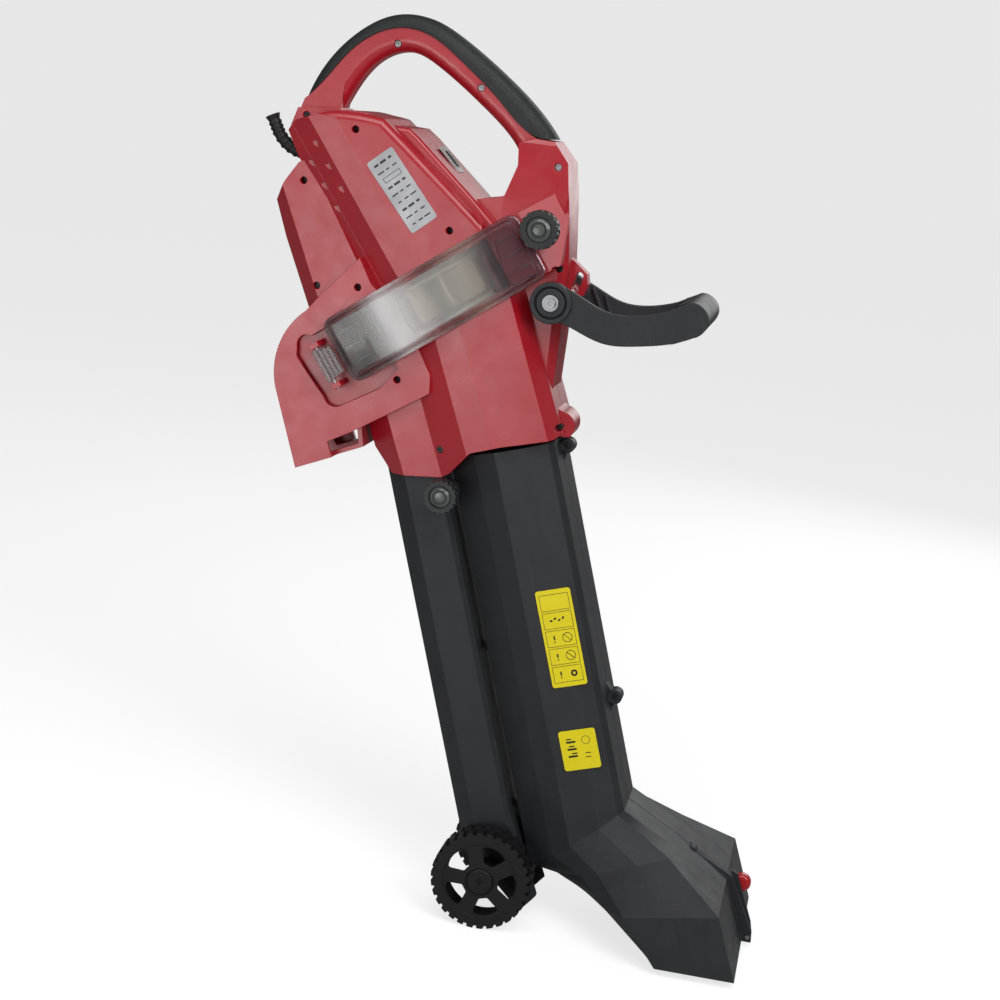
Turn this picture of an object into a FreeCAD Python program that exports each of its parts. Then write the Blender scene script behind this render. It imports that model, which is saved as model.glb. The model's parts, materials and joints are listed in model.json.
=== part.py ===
"""Three-in-one garden blower, vacuum and shredder, as its separate pieces.

Millimetres, Z up. X runs from the wheels towards the nozzle, and the mould seam is the plane Y = 0;
the side with the cleaning cover is -Y. The origin is under the middle of the whole object. Every
outline below is drawn with x = 0 above the wheel axle, and write_parts moves it all by axle_x.
"""
import FreeCAD, Part
import math
import os

V = FreeCAD.Vector

# ------------------------------------------------------------------ driving dimensions
axle_x = 21.5                 # from the origin forward to the wheel axle
motor_lean = 36.0             # degrees that the motor axis leans back
body_lean = 21.7              # degrees that the lower housing's facets lean back
tube_lean = 17.5              # degrees that both tubes lean back
wall = 3.0                    # housing wall
loop_wall = 5.0
tube_wall = 2.6
seam_gap = 0.4                # between the two halves of each moulding
slack = 0.4                   # between a tube and its socket

wheel_radius = 54.0
wheel_inner_y = 50.0
wheel_outer_y = 84.0
axle_radius = 4.0

impeller_x, impeller_z = -122.0, 670.0
impeller_radius = 55.0
chamber_radius = 59.0
chamber_low, chamber_high = -40.0, 33.0      # along the motor axis, from the impeller's centre
shaft_radius = 5.0
motor_radius = 40.0

face_y = 66.0                 # widest flat faces of the housing
side_y = 45.0                 # lower, rearward flats of the housing
crown_y = 50.0                # top of the motor housing, beside the switch
chute_y = 56.0                # face of the discharge chute
grip_half = 20.0
loop_half = 18.5
foot_half = 27.0
bar_half = 38.0

mouth_half = 125.0            # half the width of the nozzle's mouth
mouth_z = 8.0                 # height of its rim

cover_half_long = 118.0
cover_low, cover_high = -40.0, 34.0
cover_outer_y = 80.0
knob_radius = 20.0
hinge_across, hinge_y = -137.0, -66.0         # the cover's hinge axis, in the motor's frame
hinge_low, hinge_high = -26.0, 12.0           # ends of its barrel, along the motor axis
hinge_pin_radius = 1.6

boot_start = math.radians(166.0)    # headings of the strain-relief boot in the X-Z plane
boot_end = math.radians(117.0)
boot_bend = 41.0                    # radius of its bend
boot_straight = 15.0
cord_bore = 4.1                     # radius of its hole for the mains lead

PARTS = {}


# ------------------------------------------------------------------ drawing helpers
class Lean:
    """A frame leaning back in the X-Z plane: across runs forward, along runs up the lean."""

    def __init__(self, x, z, degrees):
        angle = math.radians(degrees)
        self.origin = V(x, 0, z)
        self.across = V(math.cos(angle), 0, math.sin(angle))
        self.along = V(-math.sin(angle), 0, math.cos(angle))

    def at(self, across, y, along):
        return self.origin + self.across * across + V(0, y, 0) + self.along * along

    def xz(self, across, along):
        point = self.at(across, 0, along)
        return (point.x, point.z)


MOTOR = Lean(impeller_x, impeller_z, motor_lean)
BODY = Lean(0, 540, body_lean)
TUBE = Lean(0, 0, tube_lean)
SWITCH = Lean(-134, 806, -45.0)
PLATE = Lean(*MOTOR.xz(25.7, 110), motor_lean + 4.5)


def outline_wire(outline, y):
    """A closed wire at depth y.

    An entry (x, z) is a straight side, four numbers are an arc through (x, z) to (x, z), and a list
    of points is one smooth curve through them.
    """
    edges = []
    here = V(outline[0][0], y, outline[0][1])
    for entry in outline[1:] + [outline[0]]:
        if isinstance(entry, list):
            curve = Part.BSplineCurve()
            curve.interpolate([here] + [V(x, y, z) for x, z in entry])
            edges.append(curve.toShape())
            here = V(entry[-1][0], y, entry[-1][1])
            continue
        there = V(entry[-2], y, entry[-1])
        if len(entry) == 4:
            edges.append(Part.Arc(here, V(entry[0], y, entry[1]), there).toShape())
        elif there.distanceToPoint(here) > 0.01:
            edges.append(Part.makeLine(here, there))
        here = there
    return Part.Wire(edges)


def slab(outline, low_y, high_y):
    """The outline pushed from low_y to high_y."""
    face = Part.Face(outline_wire(outline, low_y))
    return face.extrude(V(0, high_y - low_y, 0))


def inset_slab(outline, inset, low_y, high_y):
    """The same, with the outline drawn in by inset all round."""
    face = Part.Face(outline_wire(outline, low_y))
    smaller = face.makeOffset2D(-inset)
    return smaller.extrude(V(0, high_y - low_y, 0))


def both_sides(half):
    """A half section (across, y) closed by its mirror image."""
    return half + [(across, -y) for across, y in reversed(half)]


def prism(lean, section, low, high):
    """A section (across, y) pushed along the lean from low to high."""
    corners = [lean.at(across, y, low) for across, y in section]
    face = Part.Face(Part.makePolygon(corners + corners[:1]))
    return face.extrude(lean.along * (high - low))


def side_face(a, b, c, d):
    """The flat or gently twisted face between two matching edges."""
    normal = (b - a).cross(c - a)
    if normal.Length > 0 and abs((d - a).dot(normal)) / normal.Length < 0.001:
        return Part.Face(Part.makePolygon([a, b, c, d, a]))
    return Part.makeRuledSurface(Part.makeLine(a, b), Part.makeLine(d, c))


def skinned(rings):
    """A closed faceted body through matching rings of points; the end rings are flat."""
    faces = [Part.Face(Part.makePolygon(ring + ring[:1])) for ring in (rings[0], rings[-1])]
    for low, high in zip(rings, rings[1:]):
        count = len(low)
        for place in range(count):
            after = (place + 1) % count
            faces.append(side_face(low[place], low[after], high[after], high[place]))
    shell = Part.makeShell(faces)
    shell.sewShape()
    solid = Part.makeSolid(shell)
    if solid.Volume < 0:
        solid.reverse()
    return solid


def rod(lean, radius, low, high, across=0.0, y=0.0):
    """A round bar along the lean."""
    return Part.makeCylinder(radius, high - low, lean.at(across, y, low), lean.along)


def pin(x, z, radius, low_y, high_y):
    """A round bar across the object."""
    return Part.makeCylinder(radius, high_y - low_y, V(x, low_y, z), V(0, 1, 0))


def ring(lean, outer, inner, low, high):
    return rod(lean, outer, low, high).cut(rod(lean, inner, low - 1, high + 1))


def hexagon(x, z, flats, low_y, high_y, turn=0.0):
    radius = flats / math.sqrt(3)
    corners = []
    for step in range(6):
        angle = math.radians(turn + 60 * step)
        corners.append((x + radius * math.cos(angle), z + radius * math.sin(angle)))
    return slab(corners, low_y, high_y)


def fuse(shapes):
    whole = shapes[0]
    for shape in shapes[1:]:
        whole = whole.fuse(shape)
    return whole.removeSplitter()


def mirrored(shape):
    return shape.mirror(V(0, 0, 0), V(0, 1, 0))


def half_of(shape, side):
    """The -Y half (side -1) or the +Y half (side 1), clear of the seam by half its gap."""
    size = 2000.0
    start = seam_gap / 2 if side > 0 else -seam_gap / 2 - size
    return shape.common(Part.makeBox(size, size, size, V(-size / 2, start, -size / 2)))


def rounded(shape, radius, chosen):
    """Fillet the edges whose middle point passes the test."""
    edges = []
    for edge in shape.Edges:
        middle = edge.valueAt((edge.FirstParameter + edge.LastParameter) / 2)
        if chosen(middle):
            edges.append(edge)
    return shape.makeFillet(radius, edges)


def keep(name, shape):
    PARTS[name] = shape


# ------------------------------------------------------------------ outlines of the red housing
def crown_outline():
    """The motor housing seen from the side, up to the rim under the loop."""
    return [MOTOR.xz(-60, 20), (-286, 797), (-298, 821), (-290, 832), (-250, 846),
            (-219, 848, -186, 838), (-168, 837), (-157, 829), (-96, 776), (-60, 742), MOTOR.xz(70, 10)]


def front_face_outline():
    """The raised face inside the curved rail of the motor housing."""
    return [MOTOR.xz(-62, 20), (-286, 797), (-298, 821), (-290, 832), (-250, 846),
            (-219, 847, -193, 844), (-146, 806, -80, 752), MOTOR.xz(68, 10)]


def rear_step_outline():
    """The lower flat behind the motor housing."""
    return [MOTOR.xz(-50, 190), (-284, 789), (-297, 770), (-309, 747), (-296, 709), (-262, 633),
            MOTOR.xz(-60, 20)]


def chute_outline():
    """The D-shaped plate of the discharge chute."""
    return [(-206, 699), (-244, 655), (-258, 637), (-286, 590, -282, 546), (-254, 468), (-215, 485),
            (-222, 501), (-198, 514), (-164, 536), (-117, 567), (-118, 586), (-150, 640), (-191, 673)]


def outlet_outline():
    """The rim of the bag outlet, below the chute plate."""
    return [(-280, 556), (-254, 468), (-186, 498), (-190, 520), (-215, 560)]


def lower_outline():
    """The lower housing, where both tubes go in."""
    return [(-150, 640), (-168, 575), (-192, 535), (-184, 505), (-153, 473), (-97, 478), (-88, 484),
            (-66, 511), (-35, 522), (20, 537), (30, 545), (22, 566), (-34, 702), (-60, 740), (-125, 680)]


def bar_outline():
    """The front bar, from the loop down to the boss above the tube."""
    return [(-54, 812), (-56, 835), (-40, 841), (-19, 840), (-2, 820), (4, 780), (10, 717), (10, 640),
            (8, 582), (11, 572, 22, 563), (34, 554, 31, 536), (20, 536), (-19, 620), (-90, 690),
            (-92, 773), (-72, 777), (-64, 780)]


def loop_outer_rim():
    """The loop's outer rim, which the grip lies on, from the rear foot to the front one."""
    return [(-277, 869), (-247, 908), (-217, 931), (-192, 938), (-165, 934), (-129, 912), (-85, 877),
            (-52, 848), (-36, 840), (-19, 840)]


def loop_inner_rim():
    """The loop's inner rim, from the front foot to the rear one."""
    return [(-58, 824), (-72, 842), (-102, 867), (-154, 903), (-182, 914), (-210, 906),
            (-236, 877), (-251, 846)]


def loop_outline():
    """The carrying loop without its grip, down into the motor housing and the front bar."""
    return [(-300, 828), (-291, 855), loop_outer_rim(), (-10, 815), (-54, 806), loop_inner_rim(),
            (-252, 828)]


def moved_in(points, distance):
    """An open run of points moved to its right, as seen with Z up and X to the right."""
    moved = []
    for place, (x, z) in enumerate(points):
        before = points[max(place - 1, 0)]
        after = points[min(place + 1, len(points) - 1)]
        run_x, run_z = after[0] - before[0], after[1] - before[1]
        length = math.hypot(run_x, run_z)
        moved.append((x + distance * run_z / length, z - distance * run_x / length))
    return moved


def loop_hollow_outline():
    """The hollow inside the loop."""
    outer = moved_in(loop_outer_rim(), loop_wall)
    inner = moved_in(loop_inner_rim(), loop_wall)
    return [(-292, 833), (-286, 853), outer, (-15, 818), (-50, 812), inner, (-257, 833)]


def grip_outline():
    """The soft grip over the outside of the loop."""
    outer_rim = [(-273, 894), (-241, 930), (-205, 950), (-170, 951), (-131, 934), (-79, 899),
                 (-32, 858), (-19, 842)]
    inner_rim = list(reversed(loop_outer_rim()))[2:] + [(-291, 855)]
    return [(-291, 855), outer_rim, (-36, 841), inner_rim]


def lug_outline():
    """The ear for the shoulder strap."""
    return [(6, 724), (13, 720), (28, 708), (30, 697), (26, 685), (10, 676)]


# ------------------------------------------------------------------ housing
def handle_limits(inset):
    """What the loop's feet and the front bar stay inside, as seen from the front."""
    half = [(loop_half, 1000), (loop_half, 872), (32, 836), (bar_half, 780), (bar_half, 500)]
    points = [V(-400, y - inset, z) for y, z in half] + [V(-400, inset - y, z) for y, z in reversed(half)]
    face = Part.Face(Part.makePolygon(points + points[:1]))
    return face.extrude(V(500, 0, 0))


def bar_plan(inset):
    """The front bar's plan: flat sides whose front edges are cut back."""
    half = [(-120, bar_half), (1, bar_half), (14, 26), (40, 20)]
    left = [V(x - inset, y - inset, 400) for x, y in half]
    points = left + [V(point.x, -point.y, 400) for point in reversed(left)]
    face = Part.Face(Part.makePolygon(points + points[:1]))
    return face.extrude(V(0, 0, 600))


def housing_solids():
    """The outer bodies of the housing, each as (solid, hollow inside it)."""
    motor_section = both_sides([(-60, 42), (-24, 62), (2, face_y), (90, face_y)])
    motor_inside = both_sides([(-56, 38), (-22, 58), (2, 62), (90, 62)])
    body_section = both_sides([(-112, side_y), (-76, 62), (-47, face_y), (13, face_y), (25, 42)])
    step_section = both_sides([(-180, 22), (-152, side_y), (-60, side_y)])
    rear_lean = Lean(-298, 758, 23.7)
    rear_section = both_sides([(-22, 20), (0, 41), (58, 48)])

    face = rounded(slab(front_face_outline(), -face_y, face_y), 9.0,
                   lambda m: abs(abs(m.y) - face_y) < 0.1 and m.z > 775 and m.x > -225)
    face = face.common(prism(MOTOR, motor_section, -100, 300))
    crown = rounded(slab(crown_outline(), -crown_y, crown_y), 5.0,
                    lambda m: abs(abs(m.y) - crown_y) < 0.1 and m.z > 800 and m.x > -200)
    crown_section = both_sides([(-61, 41.5), (-45, crown_y + 0.4), (110, crown_y + 0.4)])
    crown_inside = both_sides([(-57, 37.5), (-42, crown_y - wall - 0.4), (110, crown_y - wall - 0.4)])
    crown = crown.common(prism(MOTOR, crown_section, -100, 300))
    rear = slab(rear_step_outline(), -48, 48).common(prism(rear_lean, rear_section, -300, 300))
    chute = slab(chute_outline(), -chute_y, chute_y)
    outlet = slab(outlet_outline(), -38, 38)
    barrel = slab(lower_outline(), -face_y, face_y)
    barrel_face = barrel.common(prism(BODY, body_section, -200, 300))
    barrel_step = barrel.common(prism(BODY, step_section, -200, 76))
    bar = slab(bar_outline(), -bar_half, bar_half).common(handle_limits(0.0))
    bar = bar.common(bar_plan(0.0))
    loop = rounded(slab(loop_outline(), -loop_half, loop_half), 13.0,
                   lambda m: abs(abs(m.y) - loop_half) < 0.1 and m.z > 870 and m.distanceToPoint(
                       V(-150, m.y, 860)) < 60)
    foot = slab([(-301, 826), (-295, 845), (-249, 849), (-248, 826)], -foot_half, foot_half)

    outside = fuse([face, crown, rear, chute, outlet, barrel_face, barrel_step, bar, loop, foot])
    inside = fuse([
        inset_slab(front_face_outline(), wall, -62, 62).common(prism(MOTOR, motor_inside, -100, 300)),
        inset_slab(crown_outline(), wall, wall - crown_y, crown_y - wall).common(
            prism(MOTOR, crown_inside, -100, 300)),
        inset_slab(rear_step_outline(), wall + 1, -40, 40).common(
            prism(rear_lean, both_sides([(-17, 17), (2, 40), (90, 40)]), -300, 300)),
        inset_slab(bar_outline(), 4.0, -33, 33).common(handle_limits(loop_wall)).common(bar_plan(4.0)),
        slab(loop_hollow_outline(), -13, 13)])
    return outside, inside


# half sections (across, y) of both tubes, outside, in the tube frame
suction_half = [(60, 24), (91, 45), (115, 56), (150, 57.5), (172, 49), (178, 41)]
blower_half = [(-9, 24), (11, 40), (47, 40), (52, 34)]


def grown(half, extra):
    """A half section grown outward by extra; a negative extra shrinks it."""
    middle = (half[0][0] + half[-1][0]) / 2
    reach = (half[-1][0] - half[0][0]) / 2
    depth = max(y for _, y in half)
    return [(middle + (across - middle) * (1 + extra / reach), y * (1 + extra / depth))
            for across, y in half]


def tube_prism(half, extra, low, high):
    return prism(TUBE, both_sides(grown(half, extra)), low, high)


suction_top = 503.0           # where each tube ends inside the housing, along the tube
blower_top = 507.0


def air_ways(extra):
    """The air passages inside the housing, grown outward by extra."""
    chamber = rod(MOTOR, chamber_radius + extra, chamber_low - extra, chamber_high + extra)
    below_deck = slab([MOTOR.xz(-200, chamber_high + extra), MOTOR.xz(200, chamber_high + extra),
                       MOTOR.xz(200, -400), MOTOR.xz(-200, -400)], -100, 100)
    suction = tube_prism(suction_half, extra - 4, suction_top - 8, 640).common(below_deck)
    blower = tube_prism(blower_half, extra - 4, blower_top - 8, 600)
    scroll_outline = [(-206, 690), (-240, 652), (-254, 634), (-281, 590, -277, 547), (-252, 474),
                      (-192, 501), (-196, 524), (-160, 548), (-128, 574), (-110, 640), (-150, 680)]
    scroll_face = Part.Face(outline_wire(scroll_outline, -(50 + extra)))
    if extra > 0:
        scroll_face = scroll_face.makeOffset2D(extra - 1.5)
    scroll = scroll_face.extrude(V(0, 2 * (50 + extra), 0)).common(below_deck)
    neck = slab([(-262, 520), (-262, 440), (-180, 470), (-192, 520)], -33 - extra, 33 + extra)
    return chamber, suction, blower, scroll, neck


# every housing screw: (x, z, half width of the housing there, how deep its head is sunk)
housing_screw_places = [(-277, 771, 44, 12), (-253, 663, 44, 12), (-205, 668, chute_y, 13),
                        (-221, 830, face_y, 14), (-112, 739, face_y, 14), (-153, 577, chute_y, 13),
                        (-101, 508, 56, 12), (1.5, 712, bar_half, 12), (22, 548, bar_half, 5),
                        (-285, 838, foot_half, 5)]
loop_screw_places = [(-197, 921, loop_half, 4), (-104, 886, loop_half, 4), (-12, 815, 34, 5)]
all_screw_places = housing_screw_places + loop_screw_places


def housing():
    outside, inside = housing_solids()
    chamber, suction, blower, scroll, neck = air_ways(wall)
    duct_walls = fuse([chamber, suction, blower, scroll]).common(outside)
    body = outside.cut(inside)
    posts = [pin(x, z, 6.0, -depth + 1, depth - 1) for x, z, depth, _ in all_screw_places]
    body = body.fuse([duct_walls] + [post.common(outside) for post in posts])

    socket_low = 440.0
    sockets = [tube_prism(suction_half, slack, socket_low, suction_top + slack),
               tube_prism(blower_half, slack, socket_low, blower_top + slack)]
    motor_bay = fuse([rod(MOTOR, motor_radius + 6, chamber_high + 4, 152), rod(MOTOR, 26, 150, 186)])
    body = body.cut(list(air_ways(0)) + sockets + [motor_bay, rod(MOTOR, 8, 0, 60)])
    return body.removeSplitter()


def housing_halves():
    body = housing()
    left = half_of(body, -1)
    right = half_of(body, 1)

    seat_end = cover_half_long - 4
    seat_section = [(-seat_end, -64.5), (seat_end + 6, -64.5), (160, -36), (160, -30), (-seat_end, -30)]
    seat = prism(MOTOR, seat_section, cover_low + 3, cover_high - 3)
    window = prism(MOTOR, [(-seat_end + 4, -90), (78, -90), (78, -20), (-seat_end + 4, -20)],
                   cover_low + 7, cover_high - 7)
    pocket_outline = [(-250, 611), (-262, 608, -264, 597), (-264, 588), (-252, 573), (-230, 548),
                      (-222, 540, -212, 541), (-171, 565), (-153, 589), (-190, 655)]
    floor = slab(pocket_outline, -50, -45)
    left = left.fuse(floor).cut(slab(pocket_outline, -70, -48))
    in_front = Part.makeBox(100, 200, 300, V(6, -100, 640))
    left = left.fuse(seat.cut([rod(MOTOR, chamber_radius, -60, 60), pivot_clear(), in_front])).cut(window)
    left = left.cut(cover_hinge_room()).fuse(cover_lugs())
    boss = pin(*MOTOR.xz(135, 4), 9.0, -68, -28)
    left = left.fuse(boss)
    left = left.cut([pin(*MOTOR.xz(135, 4), 4.0, -90, -50),
                     rod(MOTOR, hinge_pin_radius, -45, 45, hinge_across, hinge_y)])

    holes = []
    for x, z, depth, sink in all_screw_places:
        holes.append(pin(x, z, 3.9, -depth - 30, -depth + sink))
        holes.append(pin(x, z, 2.2, -depth, 0))
    left = left.cut(holes + vents())
    pilots = [pin(x, z, 1.9, -1, 14) for x, z, _, _ in all_screw_places]
    right = right.cut(pilots + [mirrored(vent) for vent in vents()])

    pivot_x, pivot_z = pivot_place()
    pivot_hole = pin(pivot_x, pivot_z, 4.2, -100, 100)
    pivot_boss_left = pin(pivot_x, pivot_z, 14, -60, -30)
    left = left.fuse(pivot_boss_left)
    right = right.fuse(mirrored(pivot_boss_left))
    knob_x, knob_z = tube_knob_place()
    left = left.fuse(slab(lug_outline(), -9, -seam_gap / 2))
    right = right.fuse(slab(lug_outline(), seam_gap / 2, 9))
    slot = strap_slot()
    others = [pivot_hole, slot, switch_hole(), inlet_hole()]
    left = left.cut(others + [pin(knob_x, knob_z, 5.5, -100, 0)])
    right = right.cut(others)
    keep("housing_left", left)
    keep("housing_right", right)


def both_sides_rect(half_across, low_y, high_y):
    return [(-half_across, low_y), (half_across, low_y), (half_across, high_y), (-half_across, high_y)]


def pivot_place():
    return 2.0, 679.0


arm_inner_y = 62.0            # inner face of the front handle's arms
eye_outer_y = 74.0            # outer face of its eyes


def pivot_clear():
    """Room round the front handle's eye."""
    return pin(*pivot_place(), 22, -100, -61)


def tube_knob_place():
    return -90.0, 463.0


def strap_slot():
    """The round-ended slot through the strap lug."""
    top, low = (20, 705), (17, 691)
    return fuse([pin(*top, 4.0, -20, 20), pin(*low, 4.0, -20, 20),
                 slab([(16.1, 705.9), (13.1, 691.9), (20.9, 690.1), (23.9, 704.1)], -20, 20)])


def switch_hole():
    """The switch's hole in the crown, with the shallow seat for its frame."""
    hole = prism(SWITCH, both_sides_rect(14.5, -10.5, 10.5), -16, 12)
    return hole.fuse(prism(SWITCH, both_sides_rect(17.2, -13.2, 13.2), 3.2, 12))


def inlet_place():
    """Where the mains inlet leaves the housing, and its direction in the X-Z plane."""
    return V(-292, 0, 797), V(math.cos(boot_start), 0, math.sin(boot_start))


def inlet_hole():
    point, way = inlet_place()
    return Part.makeCylinder(6.8, 40, point - way * 22, way)


def vents():
    """Shallow three-cornered scoops in two staggered columns on the bevel beside the motor."""
    cuts = []
    for column, (across, bevel_y) in enumerate(((-33, 57.0), (-49, 48.1))):
        for row in range(3):
            along = 197 - 27 * row - 14 * column
            corners = [MOTOR.xz(across - 4, along + 5), MOTOR.xz(across + 4, along + 3),
                       MOTOR.xz(across + 2, along - 6)]
            cuts.append(slab(corners, -face_y - 5, 0.8 - bevel_y))
    return cuts


def cover_hinge_room():
    """Room in the housing for the cover's hinge barrel to turn."""
    section = [(hinge_across - 8, -90), (3 - cover_half_long, -90), (3 - cover_half_long, -59),
               (hinge_across - 8, -59)]
    return prism(MOTOR, section, hinge_low - 2, hinge_high + 1)


def cover_lugs():
    """The two ears that hold the ends of the cover's hinge pin."""
    section = [(hinge_across - 5, hinge_y - 4), (hinge_across + 5, hinge_y - 4), (hinge_across + 8, -46),
               (hinge_across - 8, -46)]
    return [prism(MOTOR, section, low, low + 5.5) for low in (hinge_low - 8, hinge_high + 1.5)]


# ------------------------------------------------------------------ grip
def grip():
    body = slab(grip_outline(), -grip_half, grip_half)
    body = rounded(body, 13.0, lambda m: abs(abs(m.y) - grip_half) < 0.1 and m.z > 936)
    keep("handle_grip", body)


# ------------------------------------------------------------------ tubes and nozzle
def ring_points(lean, half, along):
    """A full ring of points round a half section; along may differ from point to point."""
    near = [lean.at(a, -y, along(a)) for a, y in half]
    far = [lean.at(a, y, along(a)) for a, y in reversed(half)]
    return near + far


def cut_along(across):
    """How far up the tube the mitre between tube and nozzle lies."""
    return 44.5 + (across - 60) * 0.44


def full_ring(half):
    """Both sides of a half ring of (x, y, z) points."""
    return [V(x, -y, z) for x, y, z in half] + [V(x, y, z) for x, y, z in reversed(half)]


def nozzle_rings(thin):
    """Rings of the flaring nozzle from the mitre to its mouth; thin is the wall taken off."""
    mitre = ring_points(TUBE, grown(suction_half, -thin), cut_along)
    side = mouth_half - thin
    ridge_front = 259 - thin
    ridge_half = [(108 + thin, 46), (140 + thin, 106), (160, side), (214, side),
                  (ridge_front, side), (ridge_front, 44)]
    ridge = full_ring([(x, y, 76 - thin - 0.17 * (259 - x)) for x, y in ridge_half])
    mouth_front = 284 - thin
    mouth = full_ring([(197 + thin, 60, mouth_z), (197 + thin, 112, mouth_z), (200 + thin, side, mouth_z),
                       (240, side, mouth_z), (mouth_front, side, mouth_z), (mouth_front, 44, mouth_z)])
    middle = []
    for low, high in zip(mitre, ridge):
        point = (low + high) * 0.5
        point.y = low.y + (high.y - low.y) * 0.33
        point.z += 3
        middle.append(point)
    return [mitre, middle, ridge, mouth]


def suction_tube():
    """The wide tube with its nozzle, hollow, cut into its two halves."""
    top = ring_points(TUBE, suction_half, lambda across: suction_top)
    outer = skinned([top] + nozzle_rings(0.0))
    thin_half = grown(suction_half, -tube_wall)
    past_top = ring_points(TUBE, thin_half, lambda across: suction_top + 5)
    inner_rings = nozzle_rings(tube_wall)
    past_mouth = [point + V(1.5, 0, -5) for point in inner_rings[-1]]
    inner = skinned([past_top] + inner_rings + [past_mouth])

    body = outer.fuse(seam_bosses() + [nozzle_rib()]).cut(inner).removeSplitter()
    for side, name in ((-1, "suction_tube_left"), (1, "suction_tube_right")):
        half = half_of(body, side)
        holes = []
        for x, z, radius in seam_screw_places():
            if side < 0:
                holes.append(pin(x, z, 3.6, -20, -7))
                holes.append(pin(x, z, 1.9, -20, 0))
            else:
                holes.append(pin(x, z, 1.6, -1, 8))
        keep(name, half.cut(holes + [pin(*lever_pivot(), 2.6, -30, 30)]))


def seam_screw_places():
    """(x, z, boss radius) of the screws along the tube's seams."""
    front = [TUBE.xz(185, 492), TUBE.xz(185, 213)]
    rear = [TUBE.xz(58, 290), TUBE.xz(58, 108)]
    return [(x, z, 8.0) for x, z in front] + [(x, z, 5.5) for x, z in rear] + [(216, 99, 6.5)]


def seam_bosses():
    """Finned screw bosses on the front and rear seams of the suction tube."""
    bosses = []
    for place, (x, z, radius) in enumerate(seam_screw_places()[:4]):
        toward = -1 if place < 2 else 1
        across = TUBE.across * (toward * 12)
        up = TUBE.along
        centre = V(x, 0, z)
        corners = []
        for step_across, step_up in ((1, 26), (0.15, 6), (0.15, -6), (1, -26)):
            point = centre + across * step_across + up * step_up
            corners.append((point.x, point.z))
        fin = slab(corners, -6, 6)
        bosses.append(fuse([pin(x, z, radius, -9, 9), fin]))
    keep_out = [slab(bar_outline(), -bar_half, bar_half), slab(lower_outline(), -face_y, face_y),
                tube_prism(blower_half, slack, 0, 600)]
    return [boss.cut(keep_out) for boss in bosses]


def nozzle_rib():
    """The seam rib down the middle of the nozzle's top and front."""
    outline = [(178, 116), (210, 107, 226, 98), (264, 78), (293, 18), (294, 6), (284, 6), (280, 12),
               (255, 70), (180, 100)]
    return slab(outline, -4.5, 4.5).fuse(pin(216, 99, 6.5, -7, 7))


def blower_tube():
    """The narrow tube behind, whose low end bends forward over the axle to its outlet."""
    def body(half, extra):
        top = ring_points(TUBE, half, lambda across: blower_top + extra)
        bend = ring_points(TUBE, half, lambda across: 92 + 0.55 * (across - 20))
        outlet = full_ring([(46 + 0.34 * (across - 20) + extra, 0.8 * y,
                             15 + 0.42 * (across - 20) - 0.9 * extra) for across, y in half])
        return skinned([top, bend, outlet])

    outer = body(blower_half, 0.0)
    inner = body(grown(blower_half, -tube_wall), 4.0)
    tube = outer.fuse(pin(0, wheel_radius, 10, -48, 48)).cut(inner)
    tube = fuse([tube, pin(0, wheel_radius, 8, -46, 46), clamp_boss()])
    tube = tube.cut(pin(0, wheel_radius, axle_radius + 0.05, -100, 100))
    knob_x, knob_z = tube_knob_place()
    tube = tube.cut(pin(knob_x, knob_z, 3.3, -100, -20))
    keep("blower_tube_left", half_of(tube, -1))
    keep("blower_tube_right", half_of(tube, 1))


def clamp_boss():
    """The collar on the blower tube that its knob screws into."""
    knob_x, knob_z = tube_knob_place()
    return pin(knob_x, knob_z, 12, -60, -24).cut(tube_prism(suction_half, slack, 0, 600))


# ------------------------------------------------------------------ wheels
def wheel_window(low_y, high_y):
    """The opening between two spokes, round-cornered, pointing up."""
    def polar(radius, degrees):
        angle = math.radians(degrees)
        return (radius * math.sin(angle), radius * math.cos(angle))

    outline = [polar(20.5, -13), (*polar(20.0, 0), *polar(20.5, 13)), polar(37, 22.5),
               (*polar(39.5, 0), *polar(37, -22.5))]
    opening = slab(outline, low_y, high_y)
    return rounded(opening, 2.5, lambda m: abs(m.y - (low_y + high_y) / 2) < 0.1)


def wheel(side, name):
    """A one-piece wheel: rim with two staggered rows of tread blocks, five spokes, hub."""
    low, high = wheel_inner_y, wheel_outer_y
    rim = pin(0, wheel_radius, wheel_radius - 3, low, high).cut(
        pin(0, wheel_radius, 42, low - 1, high - 2))
    hub = pin(0, wheel_radius, 16, low + 2, high - 1)
    windows = []
    for step in range(5):
        window = wheel_window(low - 1, high + 1)
        window.rotate(V(0, 0, 0), V(0, 1, 0), 72 * step + 20)
        window.translate(V(0, 0, wheel_radius))
        windows.append(window)
    rim = rim.cut(windows + [pin(0, wheel_radius, 40, low - 1, high - 9)])
    recess = pin(0, wheel_radius, 40.5, high - 1.2, high + 1).cut(pin(0, wheel_radius, 15, 0, 100))
    pieces = [rim.cut(recess), hub]
    blocks = 30
    for row, (y0, y1) in enumerate(((low, low + 16.5), (low + 17.5, high))):
        for step in range(blocks):
            block = Part.makeBox(7.0, y1 - y0, 6.0, V(-3.5, y0, wheel_radius - 6.0))
            block.rotate(V(0, 0, 0), V(0, 1, 0), 360.0 / blocks * (step + 0.5 * row))
            block.translate(V(0, 0, wheel_radius))
            pieces.append(block)
    body = pieces[0].fuse(pieces[1:]).common(pin(0, wheel_radius, wheel_radius, low - 1, high + 1))
    body = body.cut(pin(0, wheel_radius, axle_radius + 0.08, low - 5, high + 5))
    body = body.cut([pin(0, wheel_radius, 9.5, high - 9, high + 5),
                     pin(0, wheel_radius, 14.2, high - 0.7, high + 5)]).removeSplitter()
    if side < 0:
        body = mirrored(body)
    keep(name, body)


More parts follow.
